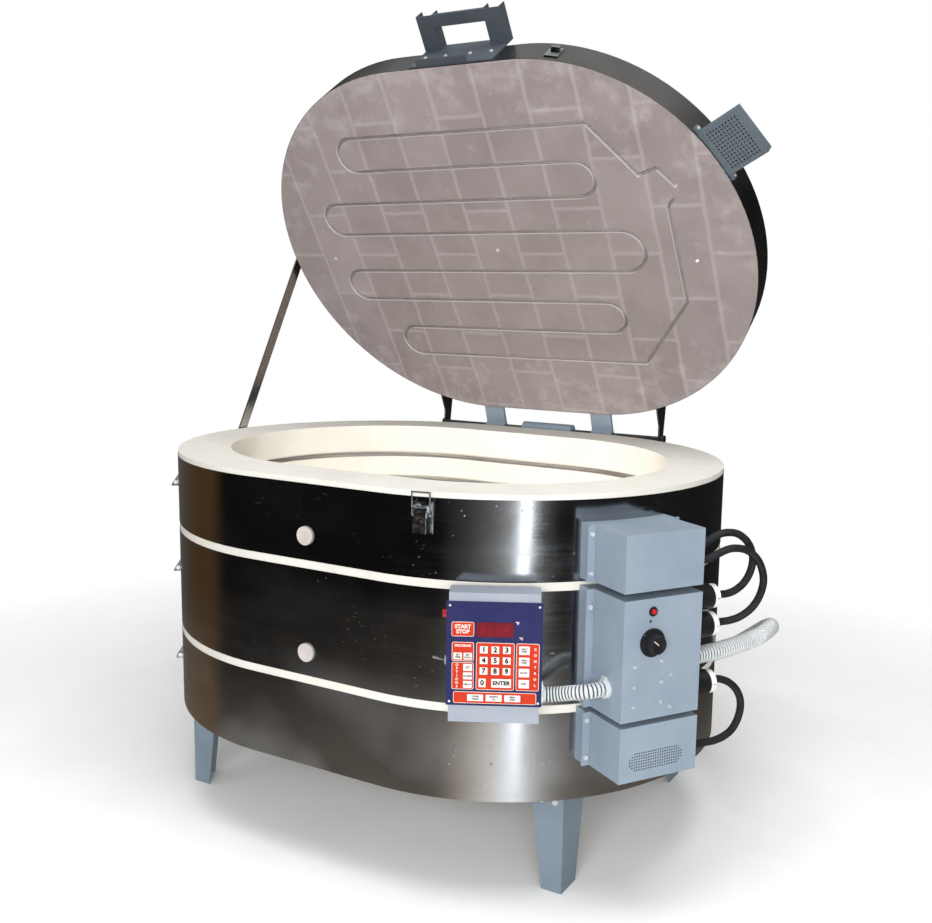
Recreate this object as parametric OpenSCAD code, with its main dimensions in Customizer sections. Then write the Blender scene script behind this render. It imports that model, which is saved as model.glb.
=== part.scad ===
// Oval sectional electric kiln with a heated lid, standing on four sheet-metal legs.
// Millimetres, +Z up, +X along the long side, front at -Y.
// The origin is on the floor, under the middle of the oval chamber.
// The lid is drawn standing open on its support arm.

/* [Body] */
// Half length of the straight part of the oval
half_straight = 148; // [130:1:165]
// Radius of the round ends, outside the jacket
end_radius = 468; // [450:1:485]
// Thickness of the stainless jacket
jacket_t = 1; // [0.8:0.1:1.4]
// Thickness of the brick wall
wall = 114; // [104:1:120]
// Height of the lower brick ring, above the floor slab
lower_ring_h = 110; // [104:1:116]
// Height of the middle brick ring
middle_ring_h = 228; // [222:1:236]
// Height of the upper brick ring
upper_ring_h = 166; // [160:1:174]
// Bare brick that shows between two jackets
brick_gap = 16; // [10:1:18]
// Bare brick above the upper jacket
rim_bare = 10; // [6:1:14]
// Thickness of the brick floor
floor_t = 64; // [56:1:76]

/* [Stand] */
// Height of the body above the floor
leg_h = 200; // [170:1:260]
// Distance of a leg's corner in from the end of the oval
leg_in_x = 151; // [146:1:186]
// Distance of a leg's corner in from the front or back of the oval
leg_in_y = 152; // [148:1:178]
// Sheet thickness of the legs and the frame
leg_t = 3; // [2:0.5:4]
// Width of a leg's front flange at the top
leg_top_w = 68; // [60:1:80]
// Width of a leg's front flange at the floor
leg_foot_w = 42; // [30:1:50]
// Height of the stand frame's rails
rail_h = 35; // [25:1:40]
// Thickness of the bottom pan
pan_t = 2; // [1.5:0.5:3]

/* [Heating] */
// Height of an element groove in the brick
groove_h = 14; // [13:0.5:15]
// Depth of an element groove in the brick
groove_deep = 15; // [14:0.5:20]
// Diameter of a wound element
coil_d = 10; // [8:0.5:11]
// Diameter of the lid's wound element
lid_coil_d = 8; // [7:0.5:8.5]
// Depth of the groove in the lid
lid_groove_deep = 9; // [9:0.5:14]

/* [Lid] */
// Thickness of the lid
lid_t = 76; // [70:1:84]
// How far the lid band stands in from the jacket
lid_inset = 6; // [4:1:10]
// Gap between the shut lid and the rim
lid_gap = 0.5; // [0.4:0.1:1]
// Angle at which the lid stands open
lid_open = 56.6; // [50:0.1:62]
// Distance of the hinge rod behind the jacket
hinge_back = 52; // [48:1:60]
// Distance of the hinge rod below the rim
hinge_drop = 8; // [4:1:12]
// Diameter of the hinge rod
rod_d = 12; // [10:0.5:14]
// Spacing of the two hinge ears
ear_span = 620; // [580:1:640]
// Width of the lid handle
handle_w = 204; // [190:1:220]
// How far the handle stands out from the lid
handle_out = 76; // [70:1:90]
// Width of the support arm
arm_w = 25; // [22:1:28]

/* [Control boxes] */
// Direction of the boxes, turned forward from the right end
box_angle = 32.4; // [30:0.1:34]
// Width of a cover
cover_w = 165; // [158:1:172]
// Depth of a cover
cover_d = 95; // [90:1:105]
// Distance of the cover flange from the jacket
stand_off = 25; // [22:1:30]
// Height of the upper cover
upper_cover_h = 101; // [96:1:106]
// Height of the middle cover
middle_cover_h = 216; // [206:1:236]
// Height of the lower cover
lower_cover_h = 100; // [92:1:104]
// Sheet thickness of the boxes
sheet = 1.5; // [1:0.1:2]
// Diameter of the selector knob
knob_d = 51; // [44:1:54]
// Diameter of a plug
plug_d = 46; // [40:1:48]

/* [Controller] */
// Direction of the controller, turned forward from the right end
controller_angle = 62; // [60:0.1:64]
// Width of the key panel
panel_w = 166; // [162:1:170]
// Height of the key panel
panel_h = 186; // [180:1:192]
// Width of the controller housing
housing_w = 158; // [150:1:160]
// Depth of the controller housing
housing_d = 48; // [42:1:54]

/* [Peepholes and latch] */
// Diameter of a peephole
peep_d = 30; // [26:1:32]
// Place of the peepholes along the front
peep_x = -15; // [-40:1:40]
// Clearance round a peephole plug
peep_clear = 0.5; // [0.4:0.1:0.8]
// Direction of the latch, turned forward from the right end
latch_angle = 78.4; // [76:0.1:82]

/* [View] */
// Piece to draw, or all

/* [Hidden] */
$fn = 96;

// Colours as the photo shows them
steel = [0.62, 0.62, 0.63];
brick = [0.95, 0.94, 0.90];
lid_brick = [0.67, 0.63, 0.61];
box_paint = [0.58, 0.64, 0.71];
dark_paint = [0.24, 0.26, 0.30];
black = [0.07, 0.07, 0.08];
wire = [0.45, 0.43, 0.41];

// Levels of the body
z_body = leg_h;
z_floor = z_body + floor_t;
z_mid = z_floor + lower_ring_h;
z_up = z_mid + middle_ring_h;
z_rim = z_up + upper_ring_h;
z_jacket_top = z_rim - rim_bare;
leg_x = half_straight + end_radius - leg_in_x;
leg_y = end_radius - leg_in_y;
brick_r = end_radius - jacket_t;
chamber_r = brick_r - wall;
fit = 0.05;
loose = 0.4;

// Element grooves, as heights above the foot of each ring
groove_pitch = 63;
lower_grooves = [z_floor + 28, z_floor + 81];
middle_grooves = [z_mid + 23, z_mid + 23 + groove_pitch, z_mid + 23 + 2 * groove_pitch];
upper_grooves = [z_up + 30, z_up + 30 + groove_pitch];
peep_z_upper = upper_grooves[0] + groove_pitch / 2 - 6;
peep_z_middle = middle_grooves[0] + groove_pitch / 2;
probe_z = middle_grooves[1] + groove_pitch / 2 + 4;

// Lid, drawn shut and then turned open about the hinge rod
lid_r = end_radius - lid_inset;
z_lid = z_rim + lid_gap;
hinge_y = end_radius + hinge_back;
hinge_z = z_rim - hinge_drop;
run_pitch = 84;
run_gap = 104;
run_shift = 10;

// Support arm: foot on the body, stud on the lid, both on the left end
arm_x = half_straight + end_radius + 7;
arm_t = 4;
arm_foot = [5, z_rim - 68];
stud_shut = [20, z_lid + 0.42 * lid_t];
stud_r = 6;
stud_open = turned(stud_shut);
arm_vec = stud_open - arm_foot;
arm_len = norm(arm_vec);
arm_lean = atan2(arm_vec[1], arm_vec[0]);

// Control boxes, outward from the middle of the right end
flange_x = end_radius + stand_off;
cover_x = flange_x + cover_d;
flange_w = 15;
base_w = cover_w + 15;
cover_gap = 13;
low_cover_gap = 10;
middle_cover_z = z_mid + 14;
upper_cover_z = middle_cover_z + middle_cover_h + cover_gap;
lower_cover_z = middle_cover_z - low_cover_gap - lower_cover_h;
side_x = flange_x + cover_d / 2;
knob_y = -23;
knob_z = middle_cover_z + middle_cover_h - 78;
pilot_z = middle_cover_z + middle_cover_h - 23;
// The two upper outlets keep to the top of the middle cover, the lowest to its foot
outlet_drop = [26, 78];
outlet_rise = 29;
middle_cover_top = middle_cover_z + middle_cover_h;
outlet_z = concat([for (d = outlet_drop) middle_cover_top - d], [middle_cover_z + outlet_rise]);
outlet_r = 24;
outlet_t = 9;
plug_len = 42;
cap_len = 12;
cord_end_y = cover_w / 2 + outlet_t + plug_len + cap_len;
cord_d = 14;
supply_z = middle_cover_z + 82;
link_rise = 49;
link_z = middle_cover_z + link_rise;
connector_len = 16;
short_connector_len = 8;
relay_y = 14;
relay_w = 40;
relay_d = 38;
relay_h = 80;

// Controller
housing_x = end_radius + 14;
panel_x = housing_x + housing_d;
panel_t = 2.5;
panel_z = z_mid + 33;
toggle_z = panel_z + 72;
housing_z = panel_z - 31;
housing_h = panel_h + 46;
panel_face = panel_x + panel_t;
key_t = 1.2;

// Latch
latch_out = end_radius + 10;
latch_z = z_jacket_top - 20;
latch_pin_r = 2.4;
bail_drop = 12;
bail_r = 1.6;
bail_half = 17;
bail_h = 42;

// A point (y, z) of the shut lid, in the open lid
function turned(p) = [
  hinge_y + (p[0] - hinge_y) * cos(lid_open) + (p[1] - hinge_z) * sin(lid_open),
  hinge_z - (p[0] - hinge_y) * sin(lid_open) + (p[1] - hinge_z) * cos(lid_open)
];

// Solid oval, standing on z = 0
module oval(r, h) {
  linear_extrude(h) {
    square([2 * half_straight, 2 * r], center = true);
    for (s = [-1, 1])
      translate([s * half_straight, 0])
        circle(r = r, $fn = 360);
  }
}

// Oval band of sheet
module oval_band(r, t, h) {
  difference() {
    oval(r, h);
    translate([0, 0, -1])
      oval(r - t, h + 2);
  }
}

// Round bar bent to the oval
module oval_bar(r, bar_r) {
  for (s = [-1, 1]) {
    translate([s * half_straight, 0, 0])
      rotate([0, 0, -90 * s])
        rotate_extrude(angle = 180)
          translate([r, 0])
            circle(r = bar_r, $fn = 24);
    translate([-half_straight, s * r, 0])
      rotate([0, 90, 0])
        cylinder(r = bar_r, h = 2 * half_straight, $fn = 24);
  }
}

// Local frames: X outward from the middle of a round end
module at_right(angle) {
  translate([half_straight, 0, 0])
    rotate([0, 0, -angle])
      children();
}

module at_left(angle) {
  translate([-half_straight, 0, 0])
    rotate([0, 0, 180 + angle])
      children();
}

// Cuts away what would stand inside the round end, up to a radius
module off_end(r) {
  difference() {
    children();
    translate([0, 0, -10])
      cylinder(r = r, h = 2 * z_rim, $fn = 360);
  }
}

module x_rod(r, x0, x1) {
  translate([x0, 0, 0])
    rotate([0, 90, 0])
      cylinder(r = r, h = x1 - x0);
}

module y_rod(r, y0, y1) {
  translate([0, y0, 0])
    rotate([-90, 0, 0])
      cylinder(r = r, h = y1 - y0);
}

// Box given by its two corners
module block(a, b) {
  translate(a)
    cube(b - a);
}

// Turns what is drawn shut into the open lid
module lid_pose() {
  translate([0, hinge_y, hinge_z])
    rotate([-lid_open, 0, 0])
      translate([0, -hinge_y, -hinge_z])
        children();
}

// Stand

module leg(sx, sy) {
  h = leg_h - pan_t;
  color(box_paint) {
    translate([sx * leg_x, sy > 0 ? leg_y : leg_t - leg_y, 0])
      rotate([90, 0, 0])
        linear_extrude(leg_t)
          polygon([[0, 0], [-sx * leg_foot_w, 0], [-sx * leg_top_w, h], [0, h]]);
    translate([sx > 0 ? leg_x - leg_t : -leg_x, sy * leg_y, 0])
      rotate([90, 0, 90])
        linear_extrude(leg_t)
          polygon([[0, 0], [-sy * (leg_foot_w + 20), 0], [-sy * (leg_top_w + 26), h], [0, h]]);
  }
}

module leg_front_right() { leg(1, -1); }
module leg_front_left() { leg(-1, -1); }
module leg_back_right() { leg(1, 1); }
module leg_back_left() { leg(-1, 1); }

module stand_frame() {
  x = leg_x - leg_t;
  y = leg_y - leg_t;
  top = leg_h - pan_t;
  color(box_paint)
    difference() {
      block([-x, -y, top - rail_h], [x, y, top]);
      block([leg_t - x, leg_t - y, top - rail_h - 1], [x - leg_t, y - leg_t, top - leg_t]);
      block([rail_h - x, rail_h - y, top - rail_h - 1], [x - rail_h, y - rail_h, top + 1]);
    }
}

module bottom_pan() {
  color(steel)
    translate([0, 0, z_body - pan_t])
      oval(end_radius - 2, pan_t);
}

// Brick body

module floor_slab() {
  color(brick)
    translate([0, 0, z_body])
      oval(brick_r, floor_t);
}

module brick_ring(z, h, grooves) {
  color(brick)
    difference() {
      translate([0, 0, z])
        oval(brick_r, h);
      translate([0, 0, z - 1])
        oval(chamber_r, h + 2);
      for (g = grooves)
        translate([0, 0, g - groove_h / 2])
          oval(chamber_r + groove_deep, groove_h);
    }
}

module peephole(z) {
  translate([peep_x, 0, z])
    y_rod(peep_d / 2, -end_radius - 5, 5 - chamber_r);
}

module probe_hole(r) {
  at_right(box_angle)
    translate([0, 0, probe_z])
      x_rod(r, chamber_r - 10, flange_x + 5);
}

module lower_brick_ring() {
  brick_ring(z_floor, lower_ring_h, lower_grooves);
}

module middle_brick_ring() {
  color(brick)
    difference() {
      brick_ring(z_mid, middle_ring_h, middle_grooves);
      peephole(peep_z_middle);
      probe_hole(4);
    }
}

module upper_brick_ring() {
  color(brick)
    difference() {
      brick_ring(z_up, upper_ring_h, upper_grooves);
      peephole(peep_z_upper);
    }
}

// Jackets: each sheet closes on the left end with two welded lugs and a bolt
lug_angle = 38;
lug_out = 18;
lug_low = 14;
lug_high = 26;
lug_edge = 3;
lug_t = 4;
lug_gap = 14;

module jacket(z0, z1) {
  color(steel) {
    translate([0, 0, z0])
      oval_band(end_radius, jacket_t, z1 - z0);
    at_left(lug_angle)
      for (s = [-1, 1])
        off_end(end_radius - jacket_t / 2)
          translate([end_radius, s * lug_gap / 2, lug_mid(z0, z1)])
            lug();
  }
}

// Triangular lug: level below, sloping up to the sheet
module lug() {
  translate([0, lug_t / 2, 0])
    rotate([90, 0, 0])
      linear_extrude(lug_t)
        polygon([[-6, -lug_low], [lug_out, -lug_low], [lug_out, lug_edge - lug_low], [-6, lug_high]]);
}

function lug_mid(z0, z1) = (z0 + z1) / 2 + 8;
jackets = [
  [z_body, z_mid - brick_gap / 2],
  [z_mid + brick_gap / 2, z_up - brick_gap / 2],
  [z_up + brick_gap / 2, z_jacket_top]
];

module lower_jacket() { jacket(jackets[0][0], jackets[0][1]); }

module middle_jacket() {
  color(steel)
    difference() {
      jacket(jackets[1][0], jackets[1][1]);
      peephole(peep_z_middle);
      probe_hole(5);
    }
}

module upper_jacket() {
  color(steel)
    difference() {
      jacket(jackets[2][0], jackets[2][1]);
      peephole(peep_z_upper);
    }
}

// Screws and bolts that stay with the body
module body_fasteners() {
  color(steel) {
    // Bolts that join legs and frame
    for (sx = [-1, 1], sy = [-1, 1], d = [16, 44])
      translate([sx * (leg_x - d), sy * leg_y, leg_h - pan_t - rail_h / 2])
        rotate([-90 * sy, 0, 0])
          cylinder(r = 6, h = 5, $fn = 6);
    // Bolts between the jacket lugs
    for (j = jackets)
      at_left(lug_angle)
        translate([end_radius + 0.42 * lug_out, 0, lug_mid(j[0], j[1]) - lug_low / 3]) {
          y_rod(3, lug_t / 2 - lug_gap / 2, lug_gap / 2 - lug_t / 2);
          for (s = [-1, 1])
            translate([0, s * (lug_gap / 2 + lug_t / 2 + 2.5), 0])
              rotate([90, 0, 0])
                cylinder(r = 5, h = 5, center = true, $fn = 6);
        }
    // Flange screws of the three covers
    at_right(box_angle)
      for (c = [[upper_cover_z, upper_cover_h], [middle_cover_z, middle_cover_h],
                [lower_cover_z, lower_cover_h]])
        for (s = [-1, 1], f = [0.15, 0.85])
          translate([0, s * (cover_w + flange_w) / 2, c[0] + f * c[1]])
            x_rod(4, flange_x + sheet, flange_x + sheet + 3);
    // Screws on the face of the middle cover, holding what is behind it
    at_right(box_angle)
      for (p = [[-34, -40], [21, -36], [44, -64], [23, -74], [-34, -76], [-35, -112], [23, -110], [43, -122]])
        translate([0, knob_y + p[0], knob_z + p[1]])
          x_rod(3.2, cover_x, cover_x + 2);
    // Corner screws of the key panel
    at_right(controller_angle)
      for (s = [-1, 1], t = [7, panel_h - 7])
        translate([0, s * (panel_w / 2 - 6), panel_z + t])
          x_rod(2, panel_face, panel_face + 1.2);
  }
}

// Heating

module ring_elements() {
  color(wire)
    for (g = concat(lower_grooves, middle_grooves, upper_grooves))
      translate([0, 0, g - groove_h / 2 + coil_d / 2])
        oval_bar(chamber_r + groove_deep - coil_d / 2, coil_d / 2);
}

// Probe in its sheath, with the wiring block behind it
module thermocouple() {
  color([0.85, 0.82, 0.76])
    at_right(box_angle)
      translate([0, 0, probe_z]) {
        x_rod(4, chamber_r - 24, flange_x);
        block([flange_x, -8, -12], [flange_x + 14, 8, 12]);
      }
}

// Control boxes

// Shallow box that holds a cover off the jacket
module box_base(z, h, probe = false) {
  color(box_paint)
    at_right(box_angle)
      difference() {
        off_end(end_radius)
          union() {
            block([flange_x - 2, -cover_w / 2 - flange_w, z], [flange_x, cover_w / 2 + flange_w, z + h]);
            block([end_radius - 12, -base_w / 2, z], [flange_x - 1, base_w / 2, z + h]);
          }
        block([end_radius - 20, 2 - base_w / 2, z + 2], [flange_x - 2, base_w / 2 - 2, z + h - 2]);
        if (probe)
          translate([0, 0, probe_z])
            x_rod(5, flange_x - 5, flange_x + 5);
      }
}

module upper_box_base() { box_base(upper_cover_z, upper_cover_h); }
module middle_box_base() { box_base(middle_cover_z, middle_cover_h, true); }
module lower_box_base() { box_base(lower_cover_z, lower_cover_h); }

// Folded cover with side flanges, open at the back
module cover(z, h) {
  w = cover_w / 2;
  difference() {
    union() {
      block([flange_x, -w, z], [cover_x, w, z + h]);
      block([flange_x, -w - flange_w, z], [flange_x + sheet, w + flange_w, z + h]);
    }
    block([flange_x - 1, sheet - w, z + sheet], [cover_x - sheet, w - sheet, z + h - sheet]);
  }
}

// Vent holes through a cover's top
module top_vents(z) {
  rows = 8;
  holes = 16;
  for (i = [0:rows], j = [0:holes])
    translate([cover_x - 12 - i * 0.55 * cover_d / rows, (j / holes - 0.5) * (cover_w - 24), z - 5])
      cylinder(r = 1.7, h = 10, $fn = 16);
}

module upper_box_cover() {
  color(box_paint)
    at_right(box_angle)
      difference() {
        cover(upper_cover_z, upper_cover_h);
        top_vents(upper_cover_z + upper_cover_h);
      }
}

module middle_box_cover() {
  color(box_paint)
    at_right(box_angle)
      difference() {
        cover(middle_cover_z, middle_cover_h);
        top_vents(middle_cover_z + middle_cover_h);
        translate([0, knob_y, knob_z])
          x_rod(4, cover_x - 5, cover_x + 5);
        translate([0, knob_y - 4, knob_z + 38])
          x_rod(2.5, cover_x - 5, cover_x + 5);
        for (z = outlet_z)
          translate([side_x, 0, z])
            y_rod(outlet_r - 4, cover_w / 2 - 5, cover_w / 2 + 5);
      }
}

module lower_box_cover() {
  vent_l = 112;
  vent_h = 40;
  pitch = 5;
  ends = (vent_l - vent_h) / 2;
  columns = floor(vent_l / pitch / 2);
  rows = floor(vent_h / pitch / 2);
  color(box_paint)
    at_right(box_angle)
      difference() {
        cover(lower_cover_z, lower_cover_h);
        for (i = [-columns:columns], j = [-rows:rows])
          if (norm([max(abs(i * pitch) - ends, 0), j * pitch]) < vent_h / 2)
            translate([0, i * pitch - 5, lower_cover_z + 35 + j * pitch])
              x_rod(1.6, cover_x - 5, cover_x + 5, $fn = 16);
      }
}

module pilot_light() {
  color([0.75, 0.05, 0.05])
    at_right(box_angle)
      translate([0, knob_y, pilot_z]) {
        x_rod(8, cover_x, cover_x + 2);
        difference() {
          translate([cover_x + 2, 0, 0])
            sphere(r = 5.2);
          x_rod(20, cover_x - 20, cover_x + 1);
        }
      }
}

// Switch behind the knob, fixed to the inside of the cover
module selector_switch() {
  color(black)
    at_right(box_angle)
      translate([0, knob_y, knob_z])
        difference() {
          block([cover_x - sheet - 32, -17, -17], [cover_x - sheet, 17, 17]);
          x_rod(3 + fit, cover_x - sheet - 28, cover_x + 1);
        }
}

module selector_knob() {
  skirt = 3.5;
  color(black)
    at_right(box_angle)
      translate([0, knob_y, knob_z]) {
        x_rod(3, cover_x - sheet - 24, cover_x + 6);
        x_rod(knob_d / 2, cover_x + loose, cover_x + loose + skirt);
        x_rod(knob_d * 0.34, cover_x + skirt, cover_x + 21);
        rotate([40, 0, 0])
          block([cover_x + skirt, -4, -knob_d * 0.4], [cover_x + 23, 4, knob_d * 0.44]);
      }
}

module power_relay() {
  color(black)
    at_right(box_angle)
      block([flange_x, relay_y, probe_z - relay_h / 2],
        [flange_x + relay_d, relay_y + relay_w, probe_z + relay_h / 2]);
}

// Three sockets on the right side of the middle cover, their plugs and the plugs' end caps
module at_outlets() {
  at_right(box_angle)
    for (z = outlet_z)
      translate([side_x, 0, z])
        children();
}

module outlets() {
  color(black)
    at_outlets() {
      y_rod(outlet_r, cover_w / 2, cover_w / 2 + outlet_t);
      y_rod(outlet_r - 5, cover_w / 2 - 20, cover_w / 2 + 1);
    }
}

module plugs() {
  y0 = cover_w / 2 + outlet_t;
  color(black)
    at_outlets()
      y_rod(plug_d / 2, y0, y0 + plug_len);
}

module plug_caps() {
  y0 = cover_w / 2 + outlet_t + plug_len;
  color([0.88, 0.88, 0.86])
    at_outlets()
      difference() {
        y_rod(plug_d / 2 - 1, y0, y0 + cap_len);
        translate([-plug_d, y0 + 5, -1.2])
          cube([2 * plug_d, cap_len, 2.4]);
      }
}

// Cords and conduits
// Route points of the three cords lie in the boxes' frame: outward, round to the right, up

upper_route = [
  [528, 82.5, 666], [528, 91, 666], [528, 100, 666], [528, 119, 669], [530, 138, 678.5],
  [533, 157, 688], [536, 176, 691], [539, 196, 687.5], [541.5, 213, 676], [543.5, 225, 659],
  [545, 230, 637], [544.5, 225, 613], [543.5, 212, 594], [542, 193, 582], [541, 176, 578],
  [540.5, 166, 578], [540.5, 156, 578], [540.5, 145.5, 578]
];
middle_route = [
  [556, 82.5, 650], [556, 91, 650], [556, 100, 650], [556.5, 118, 652.5], [557, 137, 659],
  [558, 155, 665], [559, 173, 667], [560.5, 197, 662.5], [562, 219, 649], [563, 235, 627],
  [563, 242, 600], [561, 237, 573], [557, 223, 550], [550, 203, 534], [544, 184, 527.5],
  [540.5, 167, 526], [540.5, 156, 526], [540.5, 145.5, 526]
];
lower_route = [
  [540.5, 82.5, 298], [540.5, 94, 298], [540.5, 106, 298], [540.5, 124, 298], [541, 143, 298],
  [542, 162, 298.5], [543, 182, 303], [544, 200, 313], [544, 213, 330], [544, 219.5, 352],
  [543.5, 218, 372], [543, 208, 391], [542, 192, 406], [541, 176, 414], [540.5, 166, 417],
  [540.5, 156, 417], [540.5, 145.5, 417]
];
supply_route = [
  [657.4, -206.1, 470], [668, -189.4, 470], [690, -152, 471], [712, -98, 472], [726, -34, 470],
  [726, 38, 464], [716, 110, 452], [696, 180, 434], [668, 250, 408], [632, 318, 374],
  [586, 382, 332], [530, 440, 284], [464, 490, 234], [390, 530, 184], [308, 560, 136],
  [220, 580, 94], [130, 592, 60], [40, 598, 36], [-50, 600, 25], [-120, 600, 24]
];
controller_route = [
  [462.6, -405.8, 421], [475, -399.3, 421.5], [490, -394.6, 424], [506, -392.5, 428], [523, -391.5, 432],
  [538, -387, 435], [549, -377, 436.8], [555.6, -366.5, 437]
];

// A route moved so that its ends keep to the pieces they enter
function carried(route, first, last) =
  let (n = len(route) - 1, a = first - route[0], b = last - route[n])
  [for (i = [0:n]) route[i] + a * (1 - i / n) + b * i / n];
function from_right(angle, p) = [
  half_straight + p[0] * cos(angle) + p[1] * sin(angle), p[1] * cos(angle) - p[0] * sin(angle), p[2]
];
// Room for the rib at the end of a conduit
rib_room = 0.4;
upper_start = [side_x - 12.5, cover_w / 2, upper_cover_z + 49];
middle_start = [side_x + 15.5, cover_w / 2, upper_cover_z + 33];
lower_start = [side_x, cover_w / 2, lower_cover_z + 20];
supply_start = from_right(box_angle, [side_x, cover_w / 2 + connector_len + rib_room, supply_z]);
supply_end = [-120, end_radius + 132, 24];
link_start = from_right(controller_angle,
  [housing_x + housing_d / 2, housing_w / 2 + short_connector_len + rib_room, panel_z + 14]);
link_end = from_right(box_angle, [side_x, -cover_w / 2 - short_connector_len - rib_room, link_z]);
supply_path = carried(supply_route, supply_start, supply_end);
link_path = carried(controller_route, link_start, link_end);
supply_d = 33;
supply_ribs = 140;
controller_conduit_d = 27;
controller_ribs = 11;
fitting_r = 22;
fitting_len = 40;

// Smooth curve through the points of a route
function blend(a, b, c, d, t) =
  0.5 * (2 * b + (c - a) * t + (2 * a - 5 * b + 4 * c - d) * t * t + (3 * b - a - 3 * c + d) * t * t * t);
function smooth(p, n) = concat(
  [for (i = [0:len(p) - 2], k = [0:n - 1])
    blend(p[max(i - 1, 0)], p[i], p[i + 1], p[min(i + 2, len(p) - 1)], k / n)],
  [p[len(p) - 1]]);
function lengths(p) = [
  for (i = 0, s = 0; i < len(p); s = s + norm(p[min(i + 1, len(p) - 1)] - p[i]), i = i + 1) s
];
function at_length(p, c, s) = [for (k = [0:2]) lookup(s, [for (i = [0:len(p) - 1]) [c[i], p[i][k]]])];
function unit(v) = v / norm(v);

// Points of one ring round each point of a path
function heading(p, i) = unit(p[min(i + 1, len(p) - 1)] - p[max(i - 1, 0)]);
function ring(p, i, r, side, n) =
  let (t = heading(p, i), b = unit(cross(t, side)), u = cross(b, t))
  [for (j = [0:n - 1]) p[i] + r * (cos(360 * j / n) * u + sin(360 * j / n) * b)];
function skin(rows, n, flip) = [for (i = [0:rows - 2], j = [0:n - 1])
  let (a = i * n + j, b = i * n + (j + 1) % n, c = a + n, d = b + n)
  each flip ? [[a, d, b], [a, c, d]] : [[a, b, d], [a, d, c]]];
function flat_end(start, n, flip) = [for (j = [1:n - 2])
  flip ? [start, start + j, start + j + 1] : [start, start + j + 1, start + j]];
function shifted(faces, k) = [for (f = faces) [f[0] + k, f[1] + k, f[2] + k]];

// Plain round cord
module cord(route, d, side) {
  n = 10;
  path = smooth(route, 2);
  pts = [for (i = [0:len(path) - 1]) each ring(path, i, d / 2, side, n)];
  last = (len(path) - 1) * n;
  polyhedron(pts, concat(skin(len(path), n, false), flat_end(0, n, false), flat_end(last, n, true)));
}

// Ribbed metal conduit with its bore: a list of [length along, radius] gives the outside
module conduit(route, profile, bore, side) {
  n = 8;
  fine = smooth(route, 8);
  along = lengths(fine);
  path = [for (q = profile) at_length(fine, along, q[0])];
  inner = smooth(route, 2);
  outside = [for (i = [0:len(path) - 1]) each ring(path, i, profile[i][1], side, n)];
  inside = [for (i = [0:len(inner) - 1]) each ring(inner, i, bore, side, n)];
  k = len(outside);
  last = k - n;
  in_last = k + len(inside) - n;
  ends = [for (j = [0:n - 1]) let (m = (j + 1) % n) each [
    [j, k + m, m], [j, k + j, k + m],
    [last + j, last + m, in_last + m], [last + j, in_last + m, in_last + j]
  ]];
  polyhedron(concat(outside, inside),
    concat(skin(len(path), n, false), shifted(skin(len(inner), n, true), k), ends));
}

function rib_profile(len_all, ribs, d) = [for (i = [0:ribs - 1]) each [
  [i * len_all / ribs, d / 2 - 2.4], [(i + 0.5) * len_all / ribs, d / 2]]];

module upper_cord() {
  color(black)
    at_right(box_angle)
      cord(carried(upper_route, upper_start, [side_x, cord_end_y, outlet_z[0]]), cord_d, [1, 0, 0]);
}

module middle_cord() {
  color(black)
    at_right(box_angle)
      cord(carried(middle_route, middle_start, [side_x, cord_end_y, outlet_z[1]]), cord_d, [1, 0, 0]);
}

module lower_cord() {
  color(black)
    at_right(box_angle)
      cord(carried(lower_route, lower_start, [side_x, cord_end_y, outlet_z[2]]), cord_d, [1, 0, 0]);
}

module supply_conduit() {
  total = max(lengths(smooth(supply_path, 8)));
  ribbed = total - fitting_len;
  tail = [
    [ribbed, supply_d / 2 - 2.4], [ribbed + 0.1, fitting_r], [total - 14, fitting_r],
    [total - 13.9, fitting_r - 5], [total, fitting_r - 5]
  ];
  color([0.72, 0.74, 0.74])
    conduit(supply_path, concat(rib_profile(ribbed, supply_ribs, supply_d), tail),
      supply_d / 2 - 5, [0, 0, 1]);
}

module controller_conduit() {
  total = max(lengths(smooth(link_path, 8)));
  tail = [[total, controller_conduit_d / 2 - 2.4]];
  color([0.72, 0.74, 0.74])
    conduit(link_path, concat(rib_profile(total, controller_ribs, controller_conduit_d), tail),
      controller_conduit_d / 2 - 5, [0, 0, 1]);
}

// Clamp connectors where the conduits enter the boxes
module connector(r, len_all) {
  difference() {
    union() {
      y_rod(r + 4, 0, 6);
      y_rod(r + 2, 0, len_all);
      block([-6, 1, r], [6, 7, r + 8]);
    }
    y_rod(r - 4, -1, len_all + 1);
  }
}

module conduit_connectors() {
  color([0.8, 0.81, 0.8]) {
    at_right(box_angle) {
      translate([side_x, cover_w / 2, supply_z])
        connector(supply_d / 2, connector_len);
      translate([side_x, -cover_w / 2, link_z])
        mirror([0, 1, 0])
          connector(controller_conduit_d / 2, short_connector_len);
    }
    at_right(controller_angle)
      translate([housing_x + housing_d / 2, housing_w / 2, panel_z + 14])
        connector(controller_conduit_d / 2, short_connector_len);
  }
}

// Controller

module controller_housing() {
  w = housing_w / 2;
  color([0.80, 0.82, 0.84])
    at_right(controller_angle) {
      difference() {
        block([housing_x, -w, housing_z], [panel_x, w, housing_z + housing_h]);
        block([housing_x + sheet, sheet - w, housing_z + sheet],
              [panel_x - sheet, w - sheet, housing_z + housing_h - sheet]);
        block([panel_x - 5, 20 - w, panel_z + 20], [panel_x + 1, w - 20, panel_z + panel_h - 20]);
      }
      // Stand-off brackets to the jacket
      for (z = [housing_z + 40, housing_z + housing_h - 60])
        off_end(end_radius)
          block([end_radius - 6, -40, z], [housing_x + 0.5, 40, z + 22]);
      // Threaded neck of the side switch
      translate([housing_x + housing_d / 2, 0, toggle_z])
        difference() {
          y_rod(8, -w - 8, 0.5 - w);
          y_rod(5.4, -w - 9, -w);
        }
    }
}

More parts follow.
